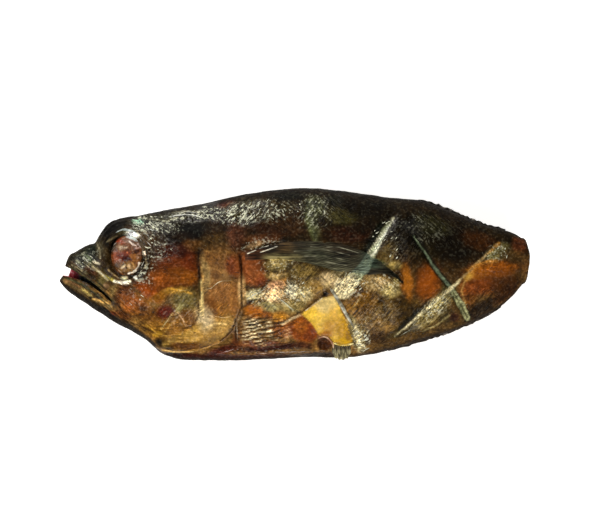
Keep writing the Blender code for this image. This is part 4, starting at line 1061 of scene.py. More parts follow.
# Dried eyeball: a glassy film over rusty tissue, mottled with fine veins.
eye_skin, tree = new_material("dried_eyeball")
place = add(tree, "ShaderNodeTexCoord").outputs["Object"]
paint = add(tree, "ShaderNodeAttribute", attribute_name="paint").outputs["Color"]
veins = add(tree, "ShaderNodeTexNoise", {
    "Vector": place, "Scale": PER_MM / 0.9, "Detail": 3.0, "Roughness": 0.6})
shade = add(tree, "ShaderNodeMapRange", {
    "Value": veins.outputs["Fac"], "From Min": 0.32, "From Max": 0.68, "To Min": 0.35, "To Max": 1.35})
tinted = add(tree, "ShaderNodeVectorMath", {0: paint, "Scale": shade.outputs[0]}, operation="SCALE")
dents = add(tree, "ShaderNodeBump", {"Height": veins.outputs["Fac"], "Distance": 0.35 * MM})
eye_shader = add(tree, "ShaderNodeBsdfPrincipled", {
    "Base Color": tinted.outputs[0], "Roughness": 0.16, "IOR": 1.4, "Normal": dents.outputs[0]})
add(tree, "ShaderNodeOutputMaterial", {"Surface": eye_shader.outputs[0]})

polar = math.pi * np.arange(1, EYE_RINGS) / EYE_RINGS
turn = 2 * math.pi * np.arange(EYE_STEPS) / EYE_STEPS
ball = np.stack((
    np.outer(np.sin(polar), np.cos(turn)),
    np.outer(np.sin(polar), np.sin(turn)),
    np.outer(np.cos(polar), np.ones(EYE_STEPS)),
), axis=-1).reshape(-1, 3)
for name, side in (("left", 1), ("right", -1)):
    middle = np.array((*EYE_CENTRE, float(flank_height(*EYE_CENTRE, side)) - side * EYE_SINK))
    outer = ease(0.1, 0.5, ball[:, 2] * side)
    reach = np.hypot(ball[:, 0], ball[:, 1])
    local = ball * EYE_HALF
    lean = side * (local[:, :2] @ EYE_LEAN)
    eye_x, eye_y = local[:, 0] + EYE_CENTRE[0], local[:, 1] + EYE_CENTRE[1]
    to_pupil = np.hypot(eye_x - PUPIL[0], eye_y - PUPIL[1])
    crinkle = 0.04 * cloud(local, 3.2, 101, 3) + 0.05 * cloud(local, 1.3, 111, 2)
    swell = 1 + outer * (crinkle - 0.12 * bump(to_pupil, 2.0) + 0.05 * bump(reach - 0.72, 0.12))
    shaped = middle + local * swell[:, None] + np.stack((0 * lean, 0 * lean, lean), axis=1)
    eye = mesh_object("eye_" + name + "_ball", shaped, tube_faces(EYE_RINGS - 1, EYE_STEPS), eye_skin)
    eye_x = eye_x + 0.8 * cloud(local, 2.2, 121) + 0.3 * cloud(local, 0.8, 125, 2)
    eye_y = eye_y + 0.8 * cloud(local, 2.2, 131) + 0.3 * cloud(local, 0.8, 135, 2)
    shades = np.tile(linear("#5c3219"), (len(ball), 1))
    for mark_x, mark_y, *shape, colour, strength in EYE_MARKS:
        mask = strength * ease(1.45, 0.6, oval(eye_x - mark_x, eye_y - mark_y, *shape))
        shades = blended(shades, mask, colour)
    for mask, colour in (
        # Painted shade on the ball's rim, where it sinks into the socket's groove, kept off the highlight at
        # its top.
        (0.95 * ease(0.93, 1.0, reach) * ease(17.5, 15.5, local[:, 1] + EYE_CENTRE[1]), "#140c07"),
        (0.75 * ease(0.15, 0.6, cloud(local, 1.5, 141)), "#1a0f0a"),
        (0.6 * ease(0.25, 0.7, cloud(local * (0.6, 1.6, 1), 1.0, 151)), "#c0a48c"),
        # Painted highlight along the ball's lower rim.
        (ease(0.65, 0.25, along_path(eye_x, eye_y, EYE_RIM_HIGHLIGHT)[0]), "#fff2dc"),
    ):
        shades = blended(shades, mask, colour)
    put_paint(eye, "paint", shades)
    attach(eye, "root")
    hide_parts("eye_" + name)

# -----------------------------------------------------------------------------
# The pectoral fins: thin dried membrane stretched over fine rays, pressed flat against the
# flank behind the gill cover. The shown one is pale at its root and dark at its tip.
# -----------------------------------------------------------------------------
FIN_UPPER = ((-24.0, 11.0), (-8.0, 15.2), (10.0, 16.2), (28.0, 13.5), (42.0, 6.6), (53.5, -3.4))
FIN_LOWER = (
    (-24.0, 6.6), (-8.0, 7.6), (10.0, 4.8), (25.0, 0.8), (36.0, -0.2), (44.0, 0.2), (49.5, -1.6),
    (53.5, -4.6),
)
FIN_COLUMNS = 240
FIN_ROWS = 84
FIN_RAYS = 15
FIN_ROOT_DEPTH = 0.3  # how deep the shown fin's back lies in the skin
HIDDEN_FIN_DEPTH = 1.35
TABLE_CLEAR = 0.02  # how far what is pressed under the fish stays over the table

# Fin membrane: thin, dry and dull, with specks drawn out along the rays.
fin_skin, tree = new_material("dried_fin_membrane")
place = add(tree, "ShaderNodeTexCoord").outputs["Object"]
paint = add(tree, "ShaderNodeAttribute", attribute_name="paint").outputs["Color"]
drawn = add(tree, "ShaderNodeVectorMath", {
    0: place, 1: (PER_MM / 7.0, PER_MM / 0.8, PER_MM / 3.0)}, operation="MULTIPLY")
specks = add(tree, "ShaderNodeTexNoise", {
    "Vector": drawn.outputs[0], "Scale": 1.0, "Detail": 3.0, "Roughness": 0.6})
shade = add(tree, "ShaderNodeMapRange", {
    "Value": specks.outputs["Fac"], "From Min": 0.35, "From Max": 0.65, "To Min": 0.15, "To Max": 1.5})
tinted = add(tree, "ShaderNodeVectorMath", {0: paint, "Scale": shade.outputs[0]}, operation="SCALE")
grainy = add(tree, "ShaderNodeBump", {"Height": specks.outputs["Fac"], "Distance": 0.2 * MM})
fin_shader = add(tree, "ShaderNodeBsdfPrincipled", {
    "Base Color": tinted.outputs[0], "Roughness": 0.45, "IOR": 1.4, "Specular IOR Level": 0.14,
    "Normal": grainy.outputs[0]})
add(tree, "ShaderNodeOutputMaterial", {"Surface": fin_shader.outputs[0]})

fin_upper_at, fin_lower_at = smooth_curve(FIN_UPPER), smooth_curve(FIN_LOWER)
column, row = np.meshgrid(np.linspace(0, 1, FIN_COLUMNS + 1), np.linspace(0, 1, FIN_ROWS + 1), indexing="ij")
fin_x = FIN_UPPER[0][0] + (FIN_UPPER[-1][0] - FIN_UPPER[0][0]) * column
fin_y = fin_lower_at(fin_x) + (fin_upper_at(fin_x) - fin_lower_at(fin_x)) * row
rays = np.cos(2 * math.pi * FIN_RAYS * row) * ease(0, 0.04, column)
edge = 1 - np.abs(2 * row - 1) ** 5
thick = 0.04 + 0.20 * edge * ease(1.0, 0.9, column)
for name, side in (("left", 1), ("right", -1)):
    skin_z = flank_height(fin_x, fin_y, side)
    if side > 0:
        outer_z = skin_z + thick + 0.14 * rays * edge
        inner_z = skin_z - FIN_ROOT_DEPTH
    else:
        outer_z = np.maximum(skin_z - thick - 0.1 * rays * edge, TABLE_CLEAR)
        inner_z = skin_z + HIDDEN_FIN_DEPTH
    loops = np.concatenate((
        np.stack((fin_x, fin_y, outer_z), axis=-1),
        np.stack((fin_x, fin_y, inner_z), axis=-1)[:, ::-1],
    ), axis=1)
    fin = mesh_object("pectoral_fin_" + name + "_blade", loops.reshape(-1, 3),
                      tube_faces(FIN_COLUMNS + 1, 2 * FIN_ROWS + 2), fin_skin)
    spots = coordinates(fin)
    fx, fy = spots[:, 0], spots[:, 1]
    run = (fx - FIN_UPPER[0][0]) / (FIN_UPPER[-1][0] - FIN_UPPER[0][0])
    up = (fy - fin_lower_at(fx)) / (fin_upper_at(fx) - fin_lower_at(fx))
    ray = np.cos(2 * math.pi * FIN_RAYS * up)
    patchy = cloud(spots, 6.0, 141)
    shades = np.tile(linear("#2d2417"), (len(spots), 1))
    for mask, colour, strength in (
        (ease(0.16, 0.04, run + 0.04 * patchy), "#52301d", 0.9),
        (bump(run - 0.18, 0.06) * ease(0.35, 0.6, up + 0.1 * patchy), "#1d150d", 0.8),
        (bump(run - 0.26, 0.05) * ease(0.3, 0.5, up + 0.1 * patchy), "#5c4628", 0.85),
        (ease(0.45, 0.15, up + 0.15 * patchy) * ease(0.08, 0.16, run) * ease(0.42, 0.3, run), "#9a8d5c", 0.8),
        (ease(0.85, 0.45, up + 0.2 * patchy) * bump(run - 0.52, 0.2), "#434736", 0.65),
        (ease(0.35, 0.1, up + 0.1 * patchy) * bump(run - 0.58, 0.14), "#6d6a50", 0.7),
        (ease(0.4, 0.95, ray + 0.5 * patchy) * ease(0.25, 0.4, run), "#63604a", 0.55),
        (ease(0.0, -0.7, ray) * ease(0.25, 0.4, run), "#14130c", 0.7),
        (ease(0.5, 0.8, up + 0.2 * patchy) * ease(0.3, 0.36, run) * ease(0.8, 0.6, run), "#2a1f15", 0.85),
        (bump(run - 0.45, 0.09) * ease(0.2, 0.5, up) * ease(-0.5, 0.5, ray + 0.4 * patchy), "#545642", 0.85),
        (bump(run - 0.80, 0.06) * ease(0.2, 0.5, up), "#3c5345", 0.6),
        (bump(run - 0.63, 0.1) * ease(0.3, 0.6, up + 0.1 * patchy), "#221f15", 0.45),
        (ease(0.84, 0.94, run), "#23221a", 0.8),
    ):
        shades = blended(shades, mask * strength, colour)
    if side > 0:
        for path in (((0, 11.4), (14, 12.4), (27, 9.6)), ((4, 9.0), (18, 8.8), (31, 5.4)),
                     ((8, 13.6), (22, 13.4), (34, 9.8)), ((14, 6.4), (26, 4.4), (38, 0.8))):
            ray_line = ease(0.3, 0.1, along_path(fx, fy + 0.15 * patchy, path)[0]) * ease(-0.2, 0.4, patchy)
            shades = blended(shades, 0.6 * ray_line, "#aaa88e")
        for path in (((-22.8, 10.2), (-19, 11.8)), ((-16.8, 12.8), (-12.8, 14.1)),
                     ((-16.4, 10.9), (-12, 12.4), (-8.4, 13.7))):
            ray_line = ease(0.32, 0.14, along_path(fx, fy, path)[0])
            shades = blended(shades, 0.95 * ray_line, "#ede6d0")
        distance, _, reached = along_path(fx, fy, NET_MARKS["broad"])
        wide = np.interp(reached, (0, 0.3, 0.6, 0.8, 1), (0.9, 1.7, 2.8, 3.4, 4.2))
        pressed = ease(wide + 0.6, wide - 0.6, distance)
        shades = blended(shades, 0.85 * pressed, "#7f8f7c")
        lines = pressed * ease(0.1, -0.5, ray)
        shades = blended(shades, 0.85 * lines, "#1c2a24")
    put_paint(fin, "paint", shades)
    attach(fin, "root")
    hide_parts("pectoral_fin_" + name)

# -----------------------------------------------------------------------------
# The pelvic fin: a stub of translucent olive membrane that hangs over the edge of the belly.
# It broke off short when the fish was dry, so its end is frayed between the rays.
# -----------------------------------------------------------------------------
PELVIC_ROOT = (23.4, -35.0)
PELVIC_HALF_WIDTH = 4.7
PELVIC_LENGTH = 9.4
PELVIC_RAYS = 9
PELVIC_COLUMNS = 61
PELVIC_ROWS = 73
PELVIC_LIFT = 0.3  # of its root over the flank
PELVIC_HALF_THICKNESS = 0.35
SLOPE_SPAN = 1.5  # over this width the belly's slope at the root is taken

# The stub's membrane: the same as the other fins', with its specks drawn out down the stub.
stub_skin = fin_skin.copy()
stub_skin.name = "dried_fin_stub"
stub_skin.node_tree.nodes[drawn.name].inputs[1].default_value = (PER_MM / 1.1, PER_MM / 4.0, PER_MM / 3.0)

root_z = float(flank_height(*PELVIC_ROOT, 1)) + PELVIC_LIFT
below_z = float(flank_height(PELVIC_ROOT[0], PELVIC_ROOT[1] - SLOPE_SPAN, 1))
slope = (root_z - PELVIC_LIFT - below_z) / SLOPE_SPAN
fall = np.array((-1.0, -slope)) / math.hypot(1, slope)
rise = np.array((fall[1], -fall[0]))
rise = rise if rise[1] > 0 else -rise
column, row = np.meshgrid(
    np.linspace(0, 1, PELVIC_COLUMNS), np.linspace(-1, 1, PELVIC_ROWS), indexing="ij")
notches = 0.06 * np.abs(np.sin(PELVIC_RAYS * math.pi * row / 2 + 0.6))
fray = 1 - notches - 0.04 * np.cos(11 * row) - 0.16 * row**2
spread = PELVIC_HALF_WIDTH * (0.86 + 0.14 * np.sin(math.pi * np.minimum(1, 1.3 * column)) - 0.12 * column**4)
down = PELVIC_LENGTH * column * (1 + (fray - 1) * column)
curl = 0.5 * np.sin(math.pi * column) + 0.25 * np.cos(PELVIC_RAYS * math.pi * row) * (1 - 0.4 * column)
layers = []
for layer in (PELVIC_HALF_THICKNESS, -PELVIC_HALF_THICKNESS):
    lift = curl + layer * (1 - 0.5 * np.abs(row) ** 4)
    layers.append(np.stack((
        PELVIC_ROOT[0] + row * spread,
        PELVIC_ROOT[1] + down * fall[0] + lift * rise[0],
        root_z + down * fall[1] + lift * rise[1],
    ), axis=-1))
loops = np.concatenate((layers[0], layers[1][:, ::-1]), axis=1)
pelvic_faces = tube_faces(PELVIC_COLUMNS, 2 * PELVIC_ROWS)
pelvic = mesh_object("pelvic_fin_stub", loops.reshape(-1, 3), pelvic_faces, stub_skin)
spots = coordinates(pelvic)
ray = np.cos(PELVIC_RAYS * math.pi * (spots[:, 0] - PELVIC_ROOT[0]) / PELVIC_HALF_WIDTH)
shades = np.tile(linear("#8a8260"), (len(spots), 1))
shades = blended(shades, 0.5 * ease(0.0, 0.9, ray), "#b3ad8c")
shades = blended(shades, 0.7 * ease(-38.5, -36.5, spots[:, 1]), "#33231a")
shades = blended(shades, 0.5 * ease(-41.2, -42.6, spots[:, 1]), "#b9b59c")
put_paint(pelvic, "paint", shades)
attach(pelvic, "root")
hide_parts("pelvic_fin")

# -----------------------------------------------------------------------------
# The fins of the back and of the belly: folded flat against the body as it dried, so that only
# a low ragged ridge of ray tips and torn membrane stands along each edge.
# -----------------------------------------------------------------------------
RIDGE_HEIGHT = 0.9
RIDGE_ROOT = 1.2  # how deep the ridge is rooted in the skin
RIDGE_RAKE = 1.2  # how far its top leans towards the tail
RIDGE_SECTION = ((0, 0.9), (0.5, 0.5), (0.85, 0.28), (1.0, 0.1))  # (share of the height, half thickness)
RIDGE_COLUMNS = 420
RIDGE_TIPS = 40  # ray tips along it, each as high as drawn
RIDGE_SWAYS = 90  # places where it leans up or down
random = np.random.default_rng(5)
for name, span, edge_at, outward in (
    ("dorsal_fin", (61.0, 105.0), back_at, 1), ("anal_fin", (46.0, 103.0), belly_at, -1),
):
    u = np.linspace(0, 1, RIDGE_COLUMNS + 1)
    ridge_x = span[0] + (span[1] - span[0]) * u
    spikes = np.interp(u, np.linspace(0, 1, RIDGE_TIPS), random.uniform(0.1, 1.0, RIDGE_TIPS))
    tips = RIDGE_HEIGHT * spikes * np.minimum(1, np.minimum(9 * u, 9 * (1 - u)) + 0.15)
    leans = np.interp(u, np.linspace(0, 1, RIDGE_SWAYS), random.uniform(-1, 1, RIDGE_SWAYS))
    sway = 0.5 * np.sin(ridge_x * 1.7) + 0.3 * leans
    foot = edge_at(ridge_x) * outward - RIDGE_ROOT
    loops = []
    for level, half in RIDGE_SECTION:
        for lean in (1, -1):
            reach = foot + (RIDGE_ROOT + tips) * level
            ridge_z = mid_height_at(ridge_x) + sway * level + lean * half
            loops.append((lean, np.stack((ridge_x + RIDGE_RAKE * level, outward * reach, ridge_z), axis=-1)))
    up = [line for lean, line in loops if lean > 0]
    down = [line for lean, line in loops if lean < 0][::-1]
    loop = np.stack(up + down, axis=1)
    ridge_faces = tube_faces(RIDGE_COLUMNS + 1, len(loops))
    ridge = mesh_object(name + "_ridge", loop.reshape(-1, 3), ridge_faces, fin_skin)
    spots = coordinates(ridge)
    stand = (spots[:, 1] * outward - edge_at(spots[:, 0]) * outward) / RIDGE_HEIGHT
    shades = np.tile(linear("#1d1611"), (len(spots), 1))
    shades = blended(shades, 0.5 * ease(0.1, 0.8, stand), "#4a4138")
    pale = ease(0.35, 0.9, stand) * ease(0.1, 0.7, ripple(spots, 2.0, 151))
    shades = blended(shades, 0.7 * pale, "#b9b2ac")
    put_paint(ridge, "paint", shades)
    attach(ridge, "root")
    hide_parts(name)

# -----------------------------------------------------------------------------
# Lifted edges of the skin: the strand beside the golden panel, the panel's two curled rims, the
# rim of the belly's hollow, the gill cover's lower edge and finer threads. Each is skin that
# dried into a thin raised cord.
# -----------------------------------------------------------------------------
CORD_SIDES = 14
FOLD_SIDES = 7
RINGS_PER_MM = 5
CORD_SINK = 0.2  # how deep a cord's middle lies in the skin
CORD_FOOT = 0.3  # how far its foot goes down from there
OVER_FISH = 60  # the height from which the skin is looked for
CORD_SEED = 200
FOLD_SEED = 300

# Curled edge of skin: a frayed, twisted cord under a thin coat of fat.
cord_skin, tree = new_material("curled_skin_edge")
place = add(tree, "ShaderNodeTexCoord").outputs["Object"]
paint = add(tree, "ShaderNodeAttribute", attribute_name="paint").outputs["Color"]
frays = add(tree, "ShaderNodeTexNoise", {
    "Vector": place, "Scale": PER_MM / 0.8, "Detail": 4.0, "Roughness": 0.7})
shade = add(tree, "ShaderNodeMapRange", {
    "Value": frays.outputs["Fac"], "From Min": 0.3, "From Max": 0.7, "To Min": 0.45, "To Max": 1.4})
tinted = add(tree, "ShaderNodeVectorMath", {0: paint, "Scale": shade.outputs[0]}, operation="SCALE")
twisted = add(tree, "ShaderNodeBump", {"Height": frays.outputs["Fac"], "Distance": 0.4 * MM, "Strength": 0.6})
cord_shader = add(tree, "ShaderNodeBsdfPrincipled", {
    "Base Color": tinted.outputs[0], "Roughness": 0.32, "IOR": 1.45, "Coat Weight": 0.3,
    "Coat Roughness": 0.15, "Normal": twisted.outputs[0]})
add(tree, "ShaderNodeOutputMaterial", {"Surface": cord_shader.outputs[0]})

body_tree = BVHTree.FromPolygons([tuple(spot) for spot in coordinates(body)],
                                 [tuple(face.vertices) for face in body.data.polygons])


def skin_top(spot_x, spot_y):
    """Height of the wrinkled skin of the shown flank over each (x, y)."""
    found = [body_tree.ray_cast((a, b, OVER_FISH), (0, 0, -1))[0] for a, b in zip(spot_x, spot_y)]
    return np.array([spot[2] if spot else 0 for spot in found])


def cord_points(path, half_widths, height, steps, seed):
    """The number of rings, the points and the patches of a cord of skin rooted in the shown flank."""
    count = 12 + RINGS_PER_MM * int(np.hypot(*np.diff(np.array(path), axis=0).T).sum())
    spots, way = along_curve(path, count)
    u = np.linspace(0, 1, count)
    half = np.interp(u, np.linspace(0, 1, len(half_widths)), half_widths)
    half = half * np.minimum(1, np.minimum(14 * u, 14 * (1 - u)) + 0.15)
    rings = []
    for (cx, cy), (wx, wy), width, t in zip(spots, way, half, u):
        angle = 2 * math.pi * np.arange(steps) / steps
        off = np.cos(angle) * width
        rx, ry = cx - wy * off, cy + wx * off
        level = np.sin(angle)
        z = skin_top(rx, ry).mean() - CORD_SINK + np.where(level > 0, level * height, level * CORD_FOOT)
        rings.append(np.stack((rx, ry, z), axis=1))
    points = np.concatenate(rings)
    points = points + 0.16 * np.stack([cloud(points, 1.6, seed + n, 2) for n in (0, 7, 14)], axis=1)
    points[:, 2] = np.maximum(points[:, 2], 0)
    return count, points, ease(-0.2, 0.5, cloud(points, 2.2, seed + 30, 3))


def skin_cord(name, path, half_widths, height, colour, tip_colour):
    """A piece of its own for one cord."""
    count, points, patchy = cord_points(path, half_widths, height, CORD_SIDES, CORD_SEED)
    cord = mesh_object(name, points, tube_faces(count, CORD_SIDES), cord_skin)
    shades = linear(colour) + patchy[:, None] * (linear(tip_colour) - linear(colour))
    put_paint(cord, "paint", shades)
    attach(cord, "root")


for name, path, half_widths, height, colour, tip_colour in (
    ("strand_by_panel", STRAND, (0.7, 0.9, 0.9, 0.7, 0.3), 1.0, "#74705c", "#d6d4c2"),
    ("panel_lower_rim", ((19.0, -33.6), (22.0, -34.9), (25.6, -35.1), (29.6, -34.0)),
     (0.35, 0.6, 0.6, 0.35), 1.0, "#d9b53f", "#fff0a0"),
    ("hollow_rim", ((11.6, -31.6), (14.4, -30.6), (17.0, -31.8), (18.8, -34.0), (19.4, -37.0)),
     (0.3, 0.55, 0.6, 0.6, 0.35), 0.95, "#a06f4f", "#e2bf9a"),
    ("cover_lower_rim", GILL_EDGE[3:7], (0.25, 0.4, 0.4, 0.3, 0.2), 0.45, "#7c5426", "#c89c56"),
    ("panel_upper_rim", ((14.0, -11.4), (9.4, -14.8), (5.4, -17.8)), (0.2, 0.4, 0.25), 0.5,
     "#a98a5a", "#efe3bd"),
):
    skin_cord(name, path, half_widths, height, colour, tip_colour)

# Fine folds, where the skin pinched into threads: (path, half width, colour, colour of its patches).
# The pale patches of some of them are painted glints and highlights, as noted.
FOLD_HEIGHT = 0.42
FOLDS = (
    # Painted glints round the eye.
    (((-79.4, -1.9), (-77.4, -0.8)), 0.5, "#d8d4c6", "#ffffff"),
    (((-74.6, 10.8), (-74.4, 8.8)), 0.35, "#8c8478", "#ffffff"),
    (((-85, -1), (-83, -1.4)), 0.3, "#a39a80", "#f4eccf"),
    (((-77, 2.6), (-75.2, 4.4), (-74.2, 6.4)), 0.2, "#6b655a", "#ece6da"),
    (((-44, -7.2), (-41, -6.8), (-38, -4.4), (-36, -3.3), (-32.5, -3.1), (-29.6, -2.6)),
     0.16, "#a58c5c", "#efe0b8"),
    (((-43, -18.4), (-41, -21.6), (-38, -20.5), (-35, -21.3), (-32, -20.8), (-29, -19.8)),
     0.15, "#b48848", "#f0d090"),
    (((-28.2, -21), (-28.3, -26), (-28, -32)), 0.15, "#a89c82", "#efe6cf"),
    (((-10.4, -38.7), (0, -38.5), (9, -38.2)), 0.2, "#8d7a6c", "#f2e6da"),
    (((-20, -39.3), (-14, -39.1), (-10.6, -38.8)), 0.18, "#8d6a58", "#e8cbb8"),
    (((-39.4, -39.8), (-34, -38.4), (-29.4, -36.8)), 0.22, "#8d5c4c", "#ecd0c4"),
    (((-66, -38.2), (-60, -38.8), (-52, -38.6), (-46, -37.6)), 0.2, "#a3803e", "#f2d890"),
    (((-57.4, -18.8), (-54.8, -22.4), (-53.6, -25.4)), 0.16, "#a88258", "#efcda4"),
    (((-54.6, -23.6), (-51.8, -25.2), (-50.2, -24.8)), 0.14, "#a88258", "#efcda4"),
    (((-66, -27.4), (-63, -23.4), (-59.6, -18.8)), 0.14, "#94793c", "#e0c88a"),
    (((-58.6, -6.6), (-55.4, -7.8), (-51.8, -7.4)), 0.2, "#a9852f", "#ecd084"),
    # Painted highlights along the crown.
    (((-62.4, 28.4), (-54, 29.4), (-48, 28.8), (-44.8, 27.6)), 0.28, "#b4b6ac", "#fbfdf4"),
    (((-60.4, 30.4), (-52, 30.8), (-46, 29.8)), 0.16, "#85867c", "#dfe1d8"),
    # Painted highlight in the white band under the eye.
    (((-89, -3.4), (-85.6, -4.2), (-82.8, -4.1), (-81.2, -3.5)), 0.4, "#cfccbc", "#fffff4"),
    (((-98.2, 2.2), (-95.6, 0.2), (-92.2, -2.6)), 0.25, "#8f8a6c", "#e0dcc4"),
    # Painted highlight on the lid over the eye.
    (((-88.6, 20.6), (-84.6, 21.9), (-80.4, 21.2), (-77, 18.9), (-75.2, 16.2)), 0.6, "#8d9a97", "#f6fdfd"),
    (((-23.4, -12.4), (-20.4, -10.2), (-17, -8.6), (-15, -7.4)), 0.3, "#b3ab8a", "#f4f0da"),
    (((-22.4, -9.8), (-19, -8.2), (-16, -7)), 0.18, "#968c68", "#e8e2c8"),
    (((3, -19.8), (-1.4, -21.8), (-6, -24.4)), 0.22, "#a58c64", "#eadcc0"),
    (((-9.6, -10.4), (-4.6, -13.8), (-0.4, -17.6)), 0.15, "#969a88", "#e2e5d6"),
    (((46.6, 23.8), (44.6, 19.4), (42.2, 16), (40.6, 13)), 0.34, "#a5ab96", "#f6f8ee"),
    (((43.4, 17.4), (40.2, 12.6), (38.4, 9.2)), 0.22, "#8b9584", "#e6eadc"),
    (((33, -10.6), (30.4, -14), (28.6, -16.6)), 0.14, "#84693a", "#dcc890"),
    (((43, -15.4), (40.2, -19.2), (37.4, -22.6)), 0.13, "#84693a", "#d4bc80"),
    (((48, -18), (45.8, -22), (43, -26)), 0.12, "#6e5730", "#b8a068"),
    (((36.4, -20), (34.4, -24), (32.4, -27.6)), 0.12, "#6e5730", "#c0a870"),
    # Painted glints on the cheek and the crown behind the eye.
    (((-73.4, 16.6), (-71, 14.6), (-69.6, 12)), 0.15, "#6f665a", "#f4efe4"),
    (((-70.2, 12.2), (-67.6, 10.6), (-65, 10.8)), 0.14, "#6f665a", "#e9e1d2"),
    (((-66.8, 9), (-64.6, 8.2), (-62.8, 9.6)), 0.12, "#6b5a4a", "#e4d6c4"),
    (((-72.6, 22.8), (-69.4, 21.6), (-67, 21.9)), 0.18, "#7c8078", "#edf2ec"),
    (((-74.8, 20.4), (-72.6, 19.4), (-71.4, 17.6)), 0.15, "#757a74", "#e6ebe6"),
    (((58, -27), (55, -29), (52.4, -30.6)), 0.16, "#6b6a50", "#cfd2ba"),
    (((61.4, -22.6), (58.6, -25.4), (56.6, -28.8)), 0.14, "#6b6a50", "#c4c7ae"),
)
fold_points, fold_faces, fold_shades, held = [], [], [], 0
for path, half, colour, bright in FOLDS:
    half_widths = (0.4 * half, 1.2 * half, half, 0.4 * half)
    count, threads, patchy = cord_points(path, half_widths, FOLD_HEIGHT, FOLD_SIDES, FOLD_SEED + held)
    fold_points.append(threads)
    fold_faces += [tuple(held + corner for corner in face) for face in tube_faces(count, FOLD_SIDES)]
    fold_shades.append(linear(colour) + patchy[:, None] * (linear(bright) - linear(colour)))
    held += len(threads)
folds_piece = mesh_object("skin_folds", np.concatenate(fold_points), fold_faces, cord_skin)
put_paint(folds_piece, "paint", np.concatenate(fold_shades))
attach(folds_piece, "root")

# -----------------------------------------------------------------------------
# Loose scales and creases: silver-green scales that stayed on the back, the crown and the net's
# marks, and short sharp creases where the skin crumpled as it shrank. Both lie the way that the
# skin drew, and each is rooted in it.
# -----------------------------------------------------------------------------
SCALE_HALF = (1.25, 0.27, 0.16)  # half length, half width and height
CREASE_HALF = (1.5, 0.21, 0.2)

# Dried scale: a horny plate with a faint silver and green sheen, dull where smoke settled on it.
scale_skin, tree = new_material("loose_silver_scale")
place = add(tree, "ShaderNodeTexCoord").outputs["Object"]
paint = add(tree, "ShaderNodeAttribute", attribute_name="paint").outputs["Color"]
tones = add(tree, "ShaderNodeTexNoise", {"Vector": place, "Scale": PER_MM / 2.0, "Detail": 3.0})
blend = add(tree, "ShaderNodeMapRange", {
    "Value": tones.outputs["Fac"], "From Min": 0.48, "From Max": 0.56, "To Min": 0.0, "To Max": 1.0})
mixed = add(tree, "ShaderNodeMix", {
    "Factor": blend.outputs[0], "A": paint, "B": (*linear("#eef0d6"), 1)}, data_type="RGBA")
scale_shader = add(tree, "ShaderNodeBsdfPrincipled", {
    "Base Color": mixed.outputs["Result"], "Roughness": 0.22, "IOR": 1.5})
add(tree, "ShaderNodeOutputMaterial", {"Surface": scale_shader.outputs[0]})

# Crease of skin: the same browns as the skin under it, made darker or paler at random along it.
crease_skin, tree = new_material("creased_skin_crest")
place = add(tree, "ShaderNodeTexCoord").outputs["Object"]
paint = add(tree, "ShaderNodeAttribute", attribute_name="paint").outputs["Color"]
tones = add(tree, "ShaderNodeTexNoise", {"Vector": place, "Scale": PER_MM / 2.0, "Detail": 3.0})
lighter = add(tree, "ShaderNodeMapRange", {
    "Value": tones.outputs["Fac"], "From Min": 0.38, "From Max": 0.62, "To Min": 0.3, "To Max": 2.6})
tinted = add(tree, "ShaderNodeVectorMath", {0: paint, "Scale": lighter.outputs[0]}, operation="SCALE")
crease_shader = add(tree, "ShaderNodeBsdfPrincipled", {
    "Base Color": tinted.outputs[0], "Roughness": 0.3, "IOR": 1.4, "Specular IOR Level": 0.3})
add(tree, "ShaderNodeOutputMaterial", {"Surface": crease_shader.outputs[0]})


def spindle(name, half, material, segments=4, sides=4):
    """A low pointed ridge along X whose foot lies just under the skin."""
    long, wide, high = half
    rings = []
    for t in np.linspace(-0.94, 0.94, segments):
        swell = math.sqrt(1 - t * t)
        turn = 2 * math.pi * np.arange(sides) / sides + math.pi / 2
        ring_y, ring_z = wide * swell * np.cos(turn), high * (swell * np.sin(turn) - 0.25)
        rings.append(np.stack((np.full(sides, long * t), ring_y, ring_z), axis=1))
    return mesh_object(name, np.concatenate(rings), tube_faces(segments, sides), material)


# The way the skin drew: (x, y, reach, angle in degrees from level).
DRAWN = (
    (-104, 2, 14, -38), (-96, -12, 14, -38), (-72, 24, 10, -32), (-54, 29, 10, 4), (-43, 30, 6, -52),
    (-25, 31, 10, 52), (-3, 30, 7, -50), (10, 31, 8, 62), (20, 33, 7, -50), (40, 30, 12, 20),
    (-58, 4, 14, 3), (-58, -16, 10, 50), (-50, -30, 12, 10), (-37, 6, 9, -60), (-36, -12, 9, 50),
    (-20, 2, 8, 20), (-18, -10, 8, 38), (-16, -28, 14, 16), (-20, -37, 12, 14), (-8, -8, 8, -42),
    (1, -12, 7, 50), (8, 0, 8, 40), (26, -6, 8, 40), (38, -20, 14, 52), (46, -4, 7, -25), (55, 14, 9, 56),
    (68, -18, 10, 38), (70, 22, 14, -42), (60, -32, 14, 14), (84, 10, 12, -60), (96, 0, 12, 12),
    (96, -16, 12, 60), (105, 9, 8, 78), (-84, 20, 8, -20), (-76, -24, 12, -32),
)
twice = np.zeros((len(points), 2))  # the angles are doubled, so that opposite ways count as one
for centre_x, centre_y, reach, degrees in DRAWN:
    weight = bump(np.hypot(x - centre_x, y - centre_y), reach)
    doubled = 2 * math.radians(degrees)
    twice += weight[:, None] * (math.cos(doubled), math.sin(doubled))
heading = 0.5 * np.arctan2(twice[:, 1], twice[:, 0])
for name, value in (("drawn_x", np.cos(heading)), ("drawn_y", 0.5 + 0.5 * np.sin(heading))):
    put_paint(body, name, value)

